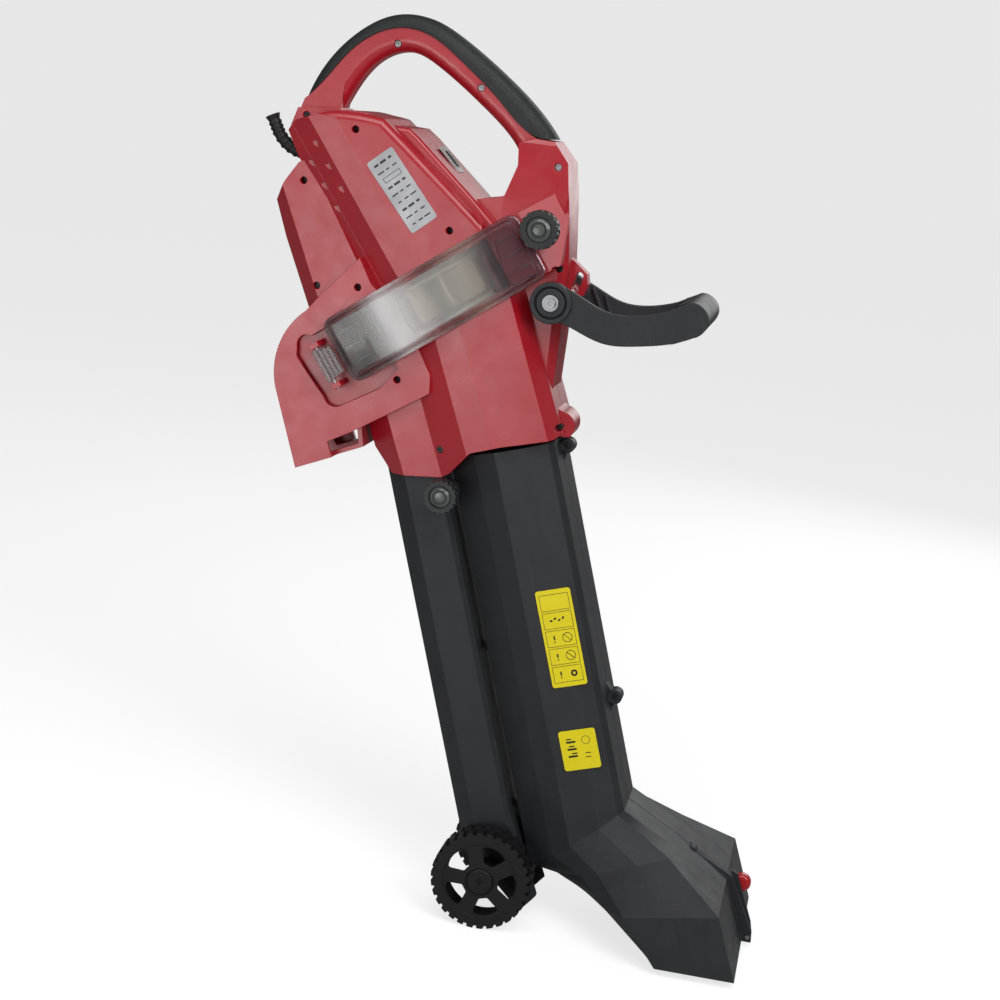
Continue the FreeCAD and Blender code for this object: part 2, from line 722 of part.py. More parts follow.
def hub_cap(side, name):
    """The round cap pressed over the axle's end, with a cross recess."""
    inner = wheel_outer_y - 0.6
    cap = pin(0, wheel_radius, 14.0, inner, inner + 3.0)
    cap = rounded(cap, 1.4, lambda m: m.y > inner + 2.9)
    stem = pin(0, wheel_radius, 9.0, inner - 7.5, inner)
    recess = fuse([slab([(-1, 50), (1, 50), (1, 58), (-1, 58)], inner + 1, inner + 5),
                   slab([(-4, 53), (4, 53), (4, 55), (-4, 55)], inner + 1, inner + 5)])
    body = fuse([cap, stem]).cut(recess)
    if side < 0:
        body = mirrored(body)
    keep(name, body)


def axle():
    keep("wheel_axle", pin(0, wheel_radius, axle_radius, -75.5, 75.5))
    clips = []
    for y in (-49.2, 48.2):
        clip = pin(0, wheel_radius, 7, y, y + 1.0)
        clips.append(clip.cut(pin(0, wheel_radius, axle_radius, y - 1, y + 3)))
    keep("axle_clips", Part.makeCompound(clips))


# ------------------------------------------------------------------ motor and impeller
def motor():
    flats = both_sides_rect(36, -37, 37)
    stack = ring(MOTOR, motor_radius, 28.5, 84, 136).common(prism(MOTOR, flats, 80, 140))
    keep("motor_stator", stack)

    coils = []
    for side in (-1, 1):
        block = prism(MOTOR, [(side * 29.5, -12), (side * 36, -12), (side * 36, 12), (side * 29.5, 12)],
                      76, 83.8)
        top = block.copy()
        top.translate(MOTOR.along * (136.2 - 76))
        coils += [block, top]
    keep("field_coils", Part.makeCompound(coils))

    core = ring(MOTOR, 27.5, shaft_radius, 86, 134)
    slots = []
    for step in range(12):
        slot = prism(MOTOR, both_sides_rect(1.2, 22, 30), 80, 140)
        slot.rotate(MOTOR.origin, MOTOR.along, 30 * step)
        slots.append(slot)
    keep("armature_core", core.cut(slots))
    windings = fuse([ring(MOTOR, 23, shaft_radius, 76, 85.9), ring(MOTOR, 23, shaft_radius, 134.1, 142)])
    keep("armature_windings", Part.makeCompound(windings.Solids))
    keep("motor_shaft", rod(MOTOR, shaft_radius, -37, 176))

    commutator = ring(MOTOR, 11, shaft_radius, 143, 157)
    gaps = []
    for step in range(12):
        gap = prism(MOTOR, both_sides_rect(0.4, 9.5, 12), 142, 158)
        gap.rotate(MOTOR.origin, MOTOR.along, 30 * step)
        gaps.append(gap)
    keep("commutator", commutator.cut(gaps))

    bearing = ring(MOTOR, 11, shaft_radius + 0.02, 0, 8)
    for name, low in (("lower_bearing", 48.0), ("upper_bearing", 166.0)):
        moved = bearing.copy()
        moved.translate(MOTOR.along * low)
        keep(name, moved)

    plate = ring(MOTOR, motor_radius + 6, 11, 48, 52)
    hub = ring(MOTOR, 15, 11, 47, 57)
    windows = []
    for step in range(6):
        window = rod(MOTOR, 7, 40, 60, 28, 0)
        window.rotate(MOTOR.origin, MOTOR.along, 60 * step + 30)
        windows.append(window)
    keep("motor_bracket", fuse([plate, hub]).cut(windows))

    cap = fuse([ring(MOTOR, 26, 11, 166, 170), ring(MOTOR, 15, 11, 165, 175)])
    keep("top_bearing_cap", cap)

    fan = [ring(MOTOR, 12, shaft_radius, 60, 72), ring(MOTOR, 34, shaft_radius, 60, 62)]
    for step in range(9):
        blade = prism(MOTOR, both_sides_rect(1.0, 10, 34), 61, 71)
        blade.rotate(MOTOR.origin, MOTOR.along, 40 * step)
        fan.append(blade)
    keep("cooling_fan", fuse(fan))

    holders = []
    brushes = []
    for side in (-1, 1):
        y0, y1 = sorted((side * 12.5, side * 25))
        shell = prism(MOTOR, [(-5, y0), (5, y0), (5, y1), (-5, y1)], 145, 155)
        core_hole = prism(MOTOR, [(-3.2, y0 - 1), (3.2, y0 - 1), (3.2, y1 + 1), (-3.2, y1 + 1)], 147, 153)
        holders.append(shell.cut(core_hole))
        b0, b1 = sorted((side * 11.4, side * 22))
        brushes.append(prism(MOTOR, [(-3, b0), (3, b0), (3, b1), (-3, b1)], 147.2, 152.8))
    keep("brush_holders", Part.makeCompound(holders))
    keep("carbon_brushes", Part.makeCompound(brushes))


def impeller():
    hub = ring(MOTOR, 13, shaft_radius, -24, 22)
    plate = ring(MOTOR, impeller_radius, shaft_radius, 17, 20)
    blades = []
    for step in range(8):
        blade = prism(MOTOR, [(10, -1.2), (impeller_radius - 1, 12), (impeller_radius - 1, 14.6), (10, 1.4)],
                      -20, 18)
        blade.rotate(MOTOR.origin, MOTOR.along, 45 * step)
        blades.append(blade)
    keep("impeller", fuse([plate, hub] + blades))
    bar = prism(MOTOR, both_sides_rect(48, -9, 9), -27.5, -24.3).common(rod(MOTOR, 48, -40, 0))
    keep("shredder_blade", bar.cut(rod(MOTOR, shaft_radius, -40, 0)))
    nut = rod(MOTOR, 9, -35, -27.7)
    corners = [(9.0 * math.cos(math.radians(60 * step)), 9.0 * math.sin(math.radians(60 * step)))
               for step in range(6)]
    sides = prism(MOTOR, corners, -40, -20)
    keep("impeller_nut", nut.common(sides).cut(rod(MOTOR, shaft_radius, -40, 0)))
    deck = ring(MOTOR, chamber_radius - 0.4, 8, chamber_high - 4, chamber_high - 0.3)
    keep("chamber_deck", deck)


# ------------------------------------------------------------------ cleaning cover
def cover():
    """A shallow translucent tray, hinged behind and clamped in front through a tab."""
    rim_y = face_y + 0.6
    outside = prism(MOTOR, both_sides_rect(cover_half_long, -cover_outer_y, -rim_y), cover_low, cover_high)
    outside = rounded(outside, 9.0, lambda m: corner_edge(m))
    outside = rounded(outside, 3.0, lambda m: m.y < -cover_outer_y + 0.01)
    inside = prism(MOTOR, both_sides_rect(cover_half_long - 2.4, -cover_outer_y + 2.4, -rim_y + 1),
                   cover_low + 2.4, cover_high - 2.4)
    tray = outside.cut(inside)
    ribs = []
    for step in range(3):
        along = -22 + 18 * step
        for low in (-cover_half_long + 2, cover_half_long - 34):
            section = [(low, 1 - cover_outer_y), (low + 32, 1 - cover_outer_y), (low + 16, -rim_y - 2)]
            ribs.append(prism(MOTOR, section, along, along + 2))
    tab_section = [(cover_half_long - 3, 4.5 - cover_outer_y), (150, 4.5 - cover_outer_y),
                   (150, 8 - cover_outer_y), (cover_half_long - 3, 8 - cover_outer_y)]
    tab = prism(MOTOR, tab_section, -9, 17)
    arm_section = [(hinge_across - 4, hinge_y - 3), (1 - cover_half_long, -74), (1 - cover_half_long, -68),
                   (hinge_across, hinge_y + 3)]
    arm = prism(MOTOR, arm_section, hinge_low, hinge_high)
    barrel = rod(MOTOR, 4.0, hinge_low, hinge_high, hinge_across, hinge_y)
    body = fuse([tray] + ribs + [tab, arm, barrel])
    body = body.cut([rod(MOTOR, hinge_pin_radius + 0.05, -60, 60, hinge_across, hinge_y),
                     pin(*MOTOR.xz(135, 4), 4.2, -90, -60)])
    keep("cleaning_cover", body)
    hinge_pin = rod(MOTOR, hinge_pin_radius, hinge_low - 9, hinge_high + 8, hinge_across, hinge_y)
    keep("cover_hinge_pin", hinge_pin)


def corner_edge(point):
    """True on the tray's four upright corner edges."""
    offset = point - MOTOR.origin
    across = offset.dot(MOTOR.across)
    along = offset.dot(MOTOR.along)
    ends = abs(abs(across) - cover_half_long) < 0.1
    sides = abs(along - cover_low) < 0.1 or abs(along - cover_high) < 0.1
    return ends and sides


def knob(x, z, radius, low_y, high_y, neck_end, stud_radius, stud_end):
    """A lobed clamping knob on its neck and stud; low_y is its outer face."""
    body = pin(x, z, radius, low_y, high_y)
    grooves = []
    for step in range(18):
        angle = 2 * math.pi * step / 18
        grooves.append(pin(x + (radius + 0.6) * math.cos(angle), z + (radius + 0.6) * math.sin(angle), 1.9,
                           low_y - 1, high_y - 3))
    body = body.cut(grooves)
    dish = pin(x, z, radius * 0.66, low_y - 1, low_y + 3.5)
    button = pin(x, z, radius * 0.42, low_y + 1.0, low_y + 4.5)
    neck = pin(x, z, radius * 0.6, high_y - 0.1, neck_end)
    return fuse([body.cut(dish), button, neck, pin(x, z, stud_radius, high_y, stud_end)])


def knobs():
    x, z = MOTOR.xz(135, 4)
    keep("cover_knob", knob(x, z, knob_radius, -95, -80.6, -75.8, 3.0, -60))
    x, z = tube_knob_place()
    keep("tube_knob", knob(x, z, 18.0, -78, -63.5, -60.4, 3.0, -30))


# ------------------------------------------------------------------ front handle
def arm_outline():
    """One side of the bail, from its pivot eye forward."""
    return [(8, 698), [(21, 694), (35, 687.5), (61, 677), (91, 677), (120, 685)], (143.5, 697.5),
            [(157, 694), (164.5, 682.5), (161, 669.5), (151, 662)],
            [(129, 653), (95, 646), (62, 644), (43, 649), (21, 657.5), (8, 660)]]


def bail_bar():
    """The curved wall that joins the two sides in front, open to the rear."""
    outside = [(128, 689), (143.5, 697.5), [(157, 694), (164.5, 682.5), (161, 669.5), (151, 662)],
               (138, 656.5), (136, 660)]
    inside = [(122, 680), (141, 692), [(152, 690), (158.5, 681.5), (155.5, 672.5), (147.5, 666.5)],
              (136, 661.5), (120, 655)]
    inner_y = arm_inner_y - 0.5
    return slab(outside, -arm_inner_y - 1, arm_inner_y + 1).cut(slab(inside, -inner_y, inner_y))


def arm_ribs(side):
    """Short stiffening ribs inside one arm, beside its eye."""
    low, high = sorted((side * (arm_inner_y - 5), side * (arm_inner_y + 1)))
    ribs = [slab([(26, 688), (28, 689), (42, 662), (40, 661)], low, high),
            slab([(40, 682), (42, 683), (54, 655), (52, 654)], low, high)]
    return ribs


def front_handle():
    """The bail: an eye and a curved arm on each side, joined by a wall at the front."""
    x, z = pivot_place()
    pieces = [bail_bar()]
    grooves = []
    for side in (-1, 1):
        low, high = sorted((side * arm_inner_y, side * (arm_inner_y + 7.5)))
        eye_low, eye_high = sorted((side * 61.0, side * eye_outer_y))
        pieces += [slab(arm_outline(), low, high), pin(x, z, 21.5, eye_low, eye_high)] + arm_ribs(side)
        groove_low, groove_high = sorted((side * (eye_outer_y - 4), side * (eye_outer_y + 4)))
        grooves.append(pin(x, z, 16.8, groove_low, groove_high).cut(pin(x, z, 15.0, -90, 90)))
        seat_low, seat_high = sorted((side * (eye_outer_y - 1.5), side * (eye_outer_y + 4)))
        grooves.append(pin(x, z, 15.5, seat_low, seat_high))
    body = fuse(pieces)
    keep("front_handle", body.cut(grooves + [pin(x, z, 4.06, -100, 100)]))
    for side, name in ((-1, "left"), (1, "right")):
        low, high = sorted((side * 34.0, side * (eye_outer_y + 1)))
        head_low, head_high = sorted((side * (eye_outer_y + 1), side * (eye_outer_y + 3.5)))
        bolt = fuse([pin(x, z, 4.0, low, high), pin(x, z, 5.5, head_low, head_high)])
        socket_low, socket_high = sorted((side * (eye_outer_y + 1.5), side * (eye_outer_y + 9)))
        keep("handle_bolt_" + name, bolt.cut(hexagon(x, z, 4.0, socket_low, socket_high)))
        wash_low, wash_high = sorted((side * (eye_outer_y - 1.2), side * (eye_outer_y + 0.8)))
        keep("handle_washer_" + name, pin(x, z, 8.5, wash_low, wash_high).cut(pin(x, z, 4.0, -100, 100)))


# ------------------------------------------------------------------ switch, inlet, electrics
def switch():
    case = prism(SWITCH, both_sides_rect(14.0, -10.0, 10.0), -15, 3.0)
    case = case.cut(prism(SWITCH, both_sides_rect(10.5, -6.5, 6.5), -6, 4))
    keep("switch_body", case)
    bezel = prism(SWITCH, both_sides_rect(17.0, -13.0, 13.0), 3.2, 5.6)
    keep("switch_frame", bezel.cut(prism(SWITCH, both_sides_rect(11.5, -7.5, 7.5), 0, 8)))
    rocker = prism(SWITCH, both_sides_rect(9.6, -5.8, 5.8), -1.5, 6.8)
    pivot = Part.makeCylinder(2.0, 12.0, SWITCH.at(0, -6.0, -2.0), V(0, 1, 0))
    keep("switch_rocker", rocker.fuse(pivot).removeSplitter())


def inlet():
    """The ribbed strain-relief boot, curving up and back from the housing."""
    start, way = inlet_place()
    plug = Part.makeCylinder(6.5, 18, start - way * 14, way)
    flange = Part.makeCylinder(9.0, 3, start - way * 14, way)
    bend_start = start + way * 4
    turn = boot_start - boot_end
    outward = (boot_start + boot_end) / 2 + math.pi / 2
    centre = bend_start + V(math.sin(boot_start), 0, -math.cos(boot_start)) * boot_bend
    middle = centre + V(math.cos(outward), 0, math.sin(outward)) * boot_bend
    end_way = V(math.cos(boot_end), 0, math.sin(boot_end))
    bend_end = centre + V(math.cos(boot_end + math.pi / 2), 0, math.sin(boot_end + math.pi / 2)) * boot_bend
    arc = Part.Arc(bend_start, middle, bend_end).toShape()
    profile = Part.Wire(Part.makeCircle(6.2, bend_start, way))
    sleeve = Part.Wire(arc).makePipeShell([profile], True, True)
    tip = bend_end + end_way * boot_straight
    pieces = [plug, flange, sleeve, Part.makeCylinder(6.2, boot_straight, bend_end, end_way)]
    ribs = 5
    for step in range(ribs):
        heading = boot_start - turn * (step + 0.4) / ribs + math.pi / 2
        spot = centre + V(math.cos(heading), 0, math.sin(heading)) * boot_bend
        along = V(math.sin(heading), 0, -math.cos(heading))
        pieces.append(Part.makeCylinder(7.1, 2.8, spot, along))
    for step in range(2):
        pieces.append(Part.makeCylinder(7.1, 2.8, bend_end + end_way * (1.0 + 5.0 * step), end_way))
    pieces.append(Part.makeCone(6.4, 8.2, 5.0, tip - end_way * 4, end_way))
    body = fuse(pieces)
    bore = Part.makeCylinder(cord_bore, boot_straight + 2, tip - end_way * (boot_straight - 1), end_way)
    keep("cord_boot", body.cut(bore))

    keep("cord_clamp", Part.makeBox(14, 18, 5, V(-282, -9, 778)))
    block = Part.makeBox(14, 18, 11, V(-266, -9, 788))
    keep("terminal_block", block)
    keep("capacitor", Part.makeBox(16, 9, 13, V(-214, -30, 818)))


# ------------------------------------------------------------------ nozzle lever
def lever_pivot():
    return 289.5, 12.0


def nozzle_lever():
    """The flat lever beside the rib, its red knob and its pivot pin."""
    x, z = lever_pivot()
    outline = [(x - 3, z - 5), (x + 3, z - 5), (x + 4, z), (x + 1, z + 14), (x - 20, z + 66),
               (x - 27, z + 70), (x - 24, z + 58), (x - 8, z + 14)]
    plate = slab(outline, 5.2, 10.2)
    keep("nozzle_lever", plate.cut(pin(x, z, 2.55, 0, 20)))
    knob_body = pin(275, 66, 10.0, 10.4, 24.0)
    knob_body = rounded(knob_body, 4.5, lambda m: True)
    keep("lever_knob", knob_body)
    keep("lever_pin", pin(x, z, 2.5, -6, 13))


# ------------------------------------------------------------------ plates and labels
def flat_label(name, lean, half_across, half_along, face, thickness=0.5):
    """A round-cornered label centred on its lean frame, on the face at -Y."""
    corners = [lean.xz(across, along) for across, along in
               ((-half_across, -half_along), (half_across, -half_along),
                (half_across, half_along), (-half_across, half_along))]
    middle_y = -face - thickness / 2
    body = slab(corners, -face - thickness, -face)
    keep(name, rounded(body, 3.0, lambda m: abs(m.y - middle_y) < 0.01))


def labels():
    flat_label("rating_plate", PLATE, 16.3, 43.0, face_y)
    flat_label("long_label", Lean(*TUBE.xz(149, 297), tube_lean), 19.0, 53.0, 57.6)
    flat_label("square_label", Lean(*TUBE.xz(146, 174), tube_lean), 20.0, 22.0, 57.6)


# ------------------------------------------------------------------ screws
def screw(x, z, head_y, length, head_radius=3.4):
    """A pan-head screw with a cross recess; head_y is its outer face."""
    head = pin(x, z, head_radius, head_y, head_y + 2.2)
    shank = pin(x, z, 1.5, head_y + 2.2, head_y + length)
    recess = fuse([slab([(x - 0.5, z - 2), (x + 0.5, z - 2), (x + 0.5, z + 2), (x - 0.5, z + 2)],
                        head_y - 1, head_y + 1.2),
                   slab([(x - 2, z - 0.5), (x + 2, z - 0.5), (x + 2, z + 0.5), (x - 2, z + 0.5)],
                        head_y - 1, head_y + 1.2)])
    return fuse([head, shank]).cut(recess)


def screws():
    for name, places in (("housing_screws", housing_screw_places), ("loop_screws", loop_screw_places)):
        solids = [screw(x, z, -depth + sink - 2.4, depth - sink + 14) for x, z, depth, sink in places]
        keep(name, Part.makeCompound(solids))
    solids = [screw(x, z, -9.3, 15) for x, z, _ in seam_screw_places()]
    keep("tube_screws", Part.makeCompound(solids))


# ------------------------------------------------------------------ all pieces
def write_parts():
    housing_halves()
    grip()
    suction_tube()
    blower_tube()
    wheel(-1, "wheel_left")
    wheel(1, "wheel_right")
    hub_cap(-1, "hub_cap_left")
    hub_cap(1, "hub_cap_right")
    axle()
    motor()
    impeller()
    cover()
    knobs()
    front_handle()
    switch()
    inlet()
    nozzle_lever()
    labels()
    screws()
    os.makedirs("parts", exist_ok=True)
    for name, shape in PARTS.items():
        moved = shape.copy()
        moved.translate(V(axle_x, 0, 0))
        moved.exportStep("parts/" + name + ".step")
        print(name, "solids", len(moved.Solids), "valid", moved.isValid(), "volume", round(moved.Volume))


write_parts()
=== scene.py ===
"""The looks of a three-in-one garden blower, vacuum and shredder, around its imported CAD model.

Metres, in the CAD model's frame: X from the wheels towards the nozzle, the cleaning cover on -Y, Z up.
"""

import json
import math

import bmesh
import bpy
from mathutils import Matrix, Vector


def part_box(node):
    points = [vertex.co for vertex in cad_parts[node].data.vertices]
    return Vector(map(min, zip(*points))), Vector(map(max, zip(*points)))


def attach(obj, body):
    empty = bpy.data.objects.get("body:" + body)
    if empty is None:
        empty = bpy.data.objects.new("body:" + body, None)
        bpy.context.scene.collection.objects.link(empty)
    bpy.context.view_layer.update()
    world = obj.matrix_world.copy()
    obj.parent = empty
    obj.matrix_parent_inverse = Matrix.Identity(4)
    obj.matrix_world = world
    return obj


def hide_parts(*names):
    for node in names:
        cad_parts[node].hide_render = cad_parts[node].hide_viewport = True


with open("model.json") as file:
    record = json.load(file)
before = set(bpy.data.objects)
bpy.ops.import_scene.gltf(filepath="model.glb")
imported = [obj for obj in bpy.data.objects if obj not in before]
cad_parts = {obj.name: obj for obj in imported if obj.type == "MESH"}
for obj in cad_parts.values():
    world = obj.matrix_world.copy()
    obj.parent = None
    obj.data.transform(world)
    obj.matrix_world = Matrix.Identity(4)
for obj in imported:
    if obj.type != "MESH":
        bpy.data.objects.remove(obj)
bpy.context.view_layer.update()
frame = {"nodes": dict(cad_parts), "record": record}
nodes = frame["nodes"]
record = frame["record"]

MM = 0.001
tube_degrees = 17.5           # how far the tubes and their labels lean back
plate_degrees = 40.5          # how far the rating plate leans back
crease_degrees = 7.6          # a turn between two CAD faces that shows as an edge
sharp_degrees = 14.0          # a turn that shows as an edge anywhere; round surfaces turn by less
flat_degrees = 0.02           # neighbouring triangles within this are one flat face
join_distance = 0.002 * MM    # doubled points of the CAD mesh lie closer than this
small_bevel = 0.2             # mm, on every CAD piece that BEVELS doesn't name

# ------------------------------------------------------------------ camera, floor and light
view_azimuth = 9.2            # degrees to the right of straight at the covered side
view_elevation = 11.1
view_roll = 6.5
view_distance = 2.2
view_lens = 73.3              # mm
sensor_width = 36.0           # mm
view_target = Vector((-0.0170, 0.0, 0.4543))
light_target = Vector((0.0, 0.0, 0.5))
room_light = 0.13             # strength of the even light from all round
floor_radius = 30.0
floor_glow = 0.74             # the paper's own light, which only the camera sees
backdrop_grey = 0.80          # the room's grey as the camera sees it


def make_camera():
    """Facing the covered side, a little from the right and above, and tilted by the roll."""
    azimuth, elevation, roll = (math.radians(a) for a in (view_azimuth, view_elevation, view_roll))
    back = Vector((math.sin(azimuth) * math.cos(elevation), -math.cos(azimuth) * math.cos(elevation),
                   math.sin(elevation)))
    data = bpy.data.cameras.new("camera")
    data.lens = view_lens
    data.sensor_width = sensor_width
    data.clip_end = 100.0
    camera = bpy.data.objects.new("camera", data)
    bpy.context.scene.collection.objects.link(camera)
    camera.location = view_target + back * view_distance
    camera.rotation_euler = back.to_track_quat("Z", "Y").to_euler()
    camera.rotation_euler.rotate_axis("Z", roll)
    bpy.context.scene.camera = camera


def area_light(name, place, size, power):
    """A rectangular lamp facing the object; size is its width and height, power is in watts."""
    data = bpy.data.lights.new(name, "AREA")
    data.shape = "RECTANGLE"
    data.size, data.size_y = size
    data.energy = power
    lamp = bpy.data.objects.new(name, data)
    lamp.visible_camera = False
    bpy.context.scene.collection.objects.link(lamp)
    lamp.location = place
    aim = light_target - Vector(place)
    lamp.rotation_euler = aim.to_track_quat("-Z", "Y").to_euler()


def make_lights():
    """A low soft light in front, which the flats on the covered side mirror, and softer ones around."""
    area_light("front_light", (-0.86, -2.03, 0.40), (1.15, 0.75), 8.5)
    area_light("key_light", (1.7, -2.1, 1.8), (1.2, 1.6), 33)
    area_light("high_light", (0.1, -1.5, 2.7), (2.2, 1.4), 32)
    area_light("back_light", (0.9, 2.2, 1.5), (1.8, 1.8), 16)


def make_backdrop():
    """A dim even room that the camera sees as plain pale grey."""
    world = bpy.data.worlds.new("studio")
    world.use_nodes = True
    tree = world.node_tree
    soft = tree.nodes["Background"]
    soft.inputs["Color"].default_value = (0.95, 0.95, 0.96, 1)
    soft.inputs["Strength"].default_value = room_light
    seen = tree.nodes.new("ShaderNodeBackground")
    seen.inputs["Color"].default_value = (backdrop_grey, backdrop_grey, backdrop_grey, 1)
    path = tree.nodes.new("ShaderNodeLightPath")
    mix = tree.nodes.new("ShaderNodeMixShader")
    tree.links.new(path.outputs["Is Camera Ray"], mix.inputs[0])
    tree.links.new(soft.outputs[0], mix.inputs[1])
    tree.links.new(seen.outputs[0], mix.inputs[2])
    tree.links.new(mix.outputs[0], tree.nodes["World Output"].inputs["Surface"])
    bpy.context.scene.world = world
    bpy.context.scene.view_settings.view_transform = "Standard"


def floor_paper():
    """Matt pale paper."""
    material = bpy.data.materials.new("floor_paper")
    material.use_nodes = True
    tree = material.node_tree
    shader = tree.nodes["Principled BSDF"]
    shader.inputs["Base Color"].default_value = (0.45, 0.45, 0.45, 1)
    shader.inputs["Roughness"].default_value = 0.9
    shader.inputs["Specular IOR Level"].default_value = 0.1
    shader.inputs["Emission Color"].default_value = (1.0, 1.0, 1.0, 1)
    path = tree.nodes.new("ShaderNodeLightPath")
    glow = tree.nodes.new("ShaderNodeMath")
    glow.operation = "MULTIPLY"
    glow.inputs[1].default_value = floor_glow
    tree.links.new(path.outputs["Is Camera Ray"], glow.inputs[0])
    tree.links.new(glow.outputs[0], shader.inputs["Emission Strength"])
    return material


def make_floor():
    """A wide round sheet of paper under the object."""
    mesh = bpy.data.meshes.new("floor")
    count = 64
    turns = [2 * math.pi * step / count for step in range(count)]
    corners = [(floor_radius * math.cos(turn), floor_radius * math.sin(turn), 0.0) for turn in turns]
    mesh.from_pydata(corners, [], [tuple(range(count))])
    floor = bpy.data.objects.new("floor", mesh)
    bpy.context.scene.collection.objects.link(floor)
    mesh.materials.append(floor_paper())


make_camera()
make_lights()
make_backdrop()
make_floor()


# ------------------------------------------------------------------ building materials
def add(tree, kind, **settings):
    """A new shader node; a setting that is no property of the node sets the input of that name."""
    node = tree.nodes.new(kind)
    for name, value in settings.items():
        label = name.replace("_", " ")
        if name in node.bl_rna.properties:
            setattr(node, name, value)
        elif hasattr(value, "is_output"):
            tree.links.new(value, node.inputs[label])
        else:
            node.inputs[label].default_value = value
    return node


def object_place(tree):
    """Where a point is on the object, in metres."""
    return add(tree, "ShaderNodeTexCoord").outputs["Object"]


def noise(tree, size, detail=3.0, stretch=None, tilt=0.0):
    """Noise from 0 to 1 whose blotches are about size metres; stretch lengthens them along one axis."""
    place = object_place(tree)
    if stretch:
        mapping = add(tree, "ShaderNodeMapping", vector_type="TEXTURE")
        tree.links.new(place, mapping.inputs["Vector"])
        mapping.inputs["Rotation"].default_value = (0.0, math.radians(tilt), 0.0)
        mapping.inputs["Scale"].default_value = stretch
        place = mapping.outputs["Vector"]
    texture = add(tree, "ShaderNodeTexNoise", Vector=place, Scale=1.0 / size, Detail=detail)
    return texture.outputs["Factor"] if "Factor" in texture.outputs else texture.outputs["Fac"]


def spread(tree, value, low, high, from_low=0.3, from_high=0.7):
    """The value's middle range carried to low..high."""
    node = add(tree, "ShaderNodeMapRange")
    tree.links.new(value, node.inputs["Value"])
    node.inputs["From Min"].default_value = from_low
    node.inputs["From Max"].default_value = from_high
    node.inputs["To Min"].default_value = low
    node.inputs["To Max"].default_value = high
    return node.outputs["Result"]


def blend_colours(tree, factor, first, second):
    """First where the factor is 0, second where it is 1; each is a colour or a socket."""
    node = add(tree, "ShaderNodeMix", data_type="RGBA")
    tree.links.new(factor, node.inputs["Factor"])
    for socket, colour in ((node.inputs[6], first), (node.inputs[7], second)):
        if hasattr(colour, "is_output"):
            tree.links.new(colour, socket)
        else:
            socket.default_value = (*colour, 1.0)
    return node.outputs[2]


def bump(tree, height, depth, strength):
    """A normal bumped by a height from 0 to 1 that stands for depth metres."""
    node = add(tree, "ShaderNodeBump", Strength=strength, Distance=depth)
    tree.links.new(height, node.inputs["Height"])
    return node.outputs["Normal"]


def scaled(colour, amount):
    """A colour made lighter or darker by a factor."""
    return tuple(min(1.0, part * amount) for part in colour)


def start_material(name, roughness, **sockets):
    """A Principled material; sockets are its other inputs, such as Metallic=1.0."""
    material = bpy.data.materials.new(name)
    material.use_nodes = True
    tree = material.node_tree
    shader = tree.nodes["Principled BSDF"]
    shader.inputs["Roughness"].default_value = roughness
    for label, value in sockets.items():
        shader.inputs[label.replace("_", " ")].default_value = value
    return material, tree, shader


def plug_in(tree, shader, **links):
    """Links sockets to the shader's inputs of those names."""
    for label, socket in links.items():
        tree.links.new(socket, shader.inputs[label.replace("_", " ")])


def moulded(name, colour, roughness, grain=0.0005, grain_depth=0.00003, mottle=0.12, scuffs=0.0,
            scuff_tilt=0.0, **sockets):
    """Moulded plastic: faint mottling, spark-eroded grain and, if asked, fine scuffs along the part."""
    material, tree, shader = start_material(name, roughness, **sockets)
    patches = spread(tree, noise(tree, 0.05, 4.0), 0.0, 1.0)
    paint = blend_colours(tree, patches, scaled(colour, 1.0 - mottle), scaled(colour, 1.0 + mottle))
    gloss = spread(tree, noise(tree, 0.02, 5.0), roughness - 0.05, roughness + 0.06)
    if scuffs:
        lines = noise(tree, 0.004, 6.0, (1.0, 1.0, 14.0), scuff_tilt)
        streaks = spread(tree, lines, 0.0, scuffs, 0.60, 0.75)
        paint = blend_colours(tree, streaks, paint, scaled(colour, 2.6))
    fine = noise(tree, grain, 2.0)
    plug_in(tree, shader, Base_Color=paint, Roughness=gloss, Normal=bump(tree, fine, grain_depth, 0.6))
    return material


# ------------------------------------------------------------------ places taken from the frame
joint_places = {joint["name"]: Vector(joint["pos_m"]) for joint in record["behaviour"]["joints"]}
joint_axes = {joint["name"]: Vector(joint["axis"]) for joint in record["behaviour"]["joints"]}
ACROSS_Y = Vector((0.0, 1.0, 0.0))


class Lean:
    """Directions of a leaning piece: across runs forward, along runs up the lean."""

    def __init__(self, along):
        self.along = along.normalized()
        self.across = ACROSS_Y.cross(self.along).normalized()

    def span(self, name, way):
        """Lowest and highest reach of a CAD node along one direction, in metres."""
        reach = [way.dot(vertex.co) for vertex in nodes[name].data.vertices]
        return min(reach), max(reach)

    def frame_of(self, name):
        """A node's middle across and along, and half its width and length there."""
        low_a, high_a = self.span(name, self.across)
        low_l, high_l = self.span(name, self.along)
        return (low_a + high_a) / 2, (low_l + high_l) / 2, (high_a - low_a) / 2, (high_l - low_l) / 2

    def at(self, across, y, along):
        return self.across * across + ACROSS_Y * y + self.along * along


MOTOR = Lean(joint_axes["motor_spin"])


# ------------------------------------------------------------------ materials
def red_plastic():
    return moulded("red_plastic", (0.44, 0.006, 0.018), 0.32, mottle=0.05, grain_depth=0.00005,
                   Specular_IOR_Level=0.8, Coat_Weight=0.3, Coat_Roughness=0.34)


def tube_plastic():
    return moulded("black_plastic", (0.028, 0.029, 0.032), 0.46, scuffs=0.25, scuff_tilt=-tube_degrees,
                   Specular_IOR_Level=0.35)


def wheel_plastic():
    return moulded("wheel_plastic", (0.010, 0.010, 0.011), 0.45, Specular_IOR_Level=0.35)


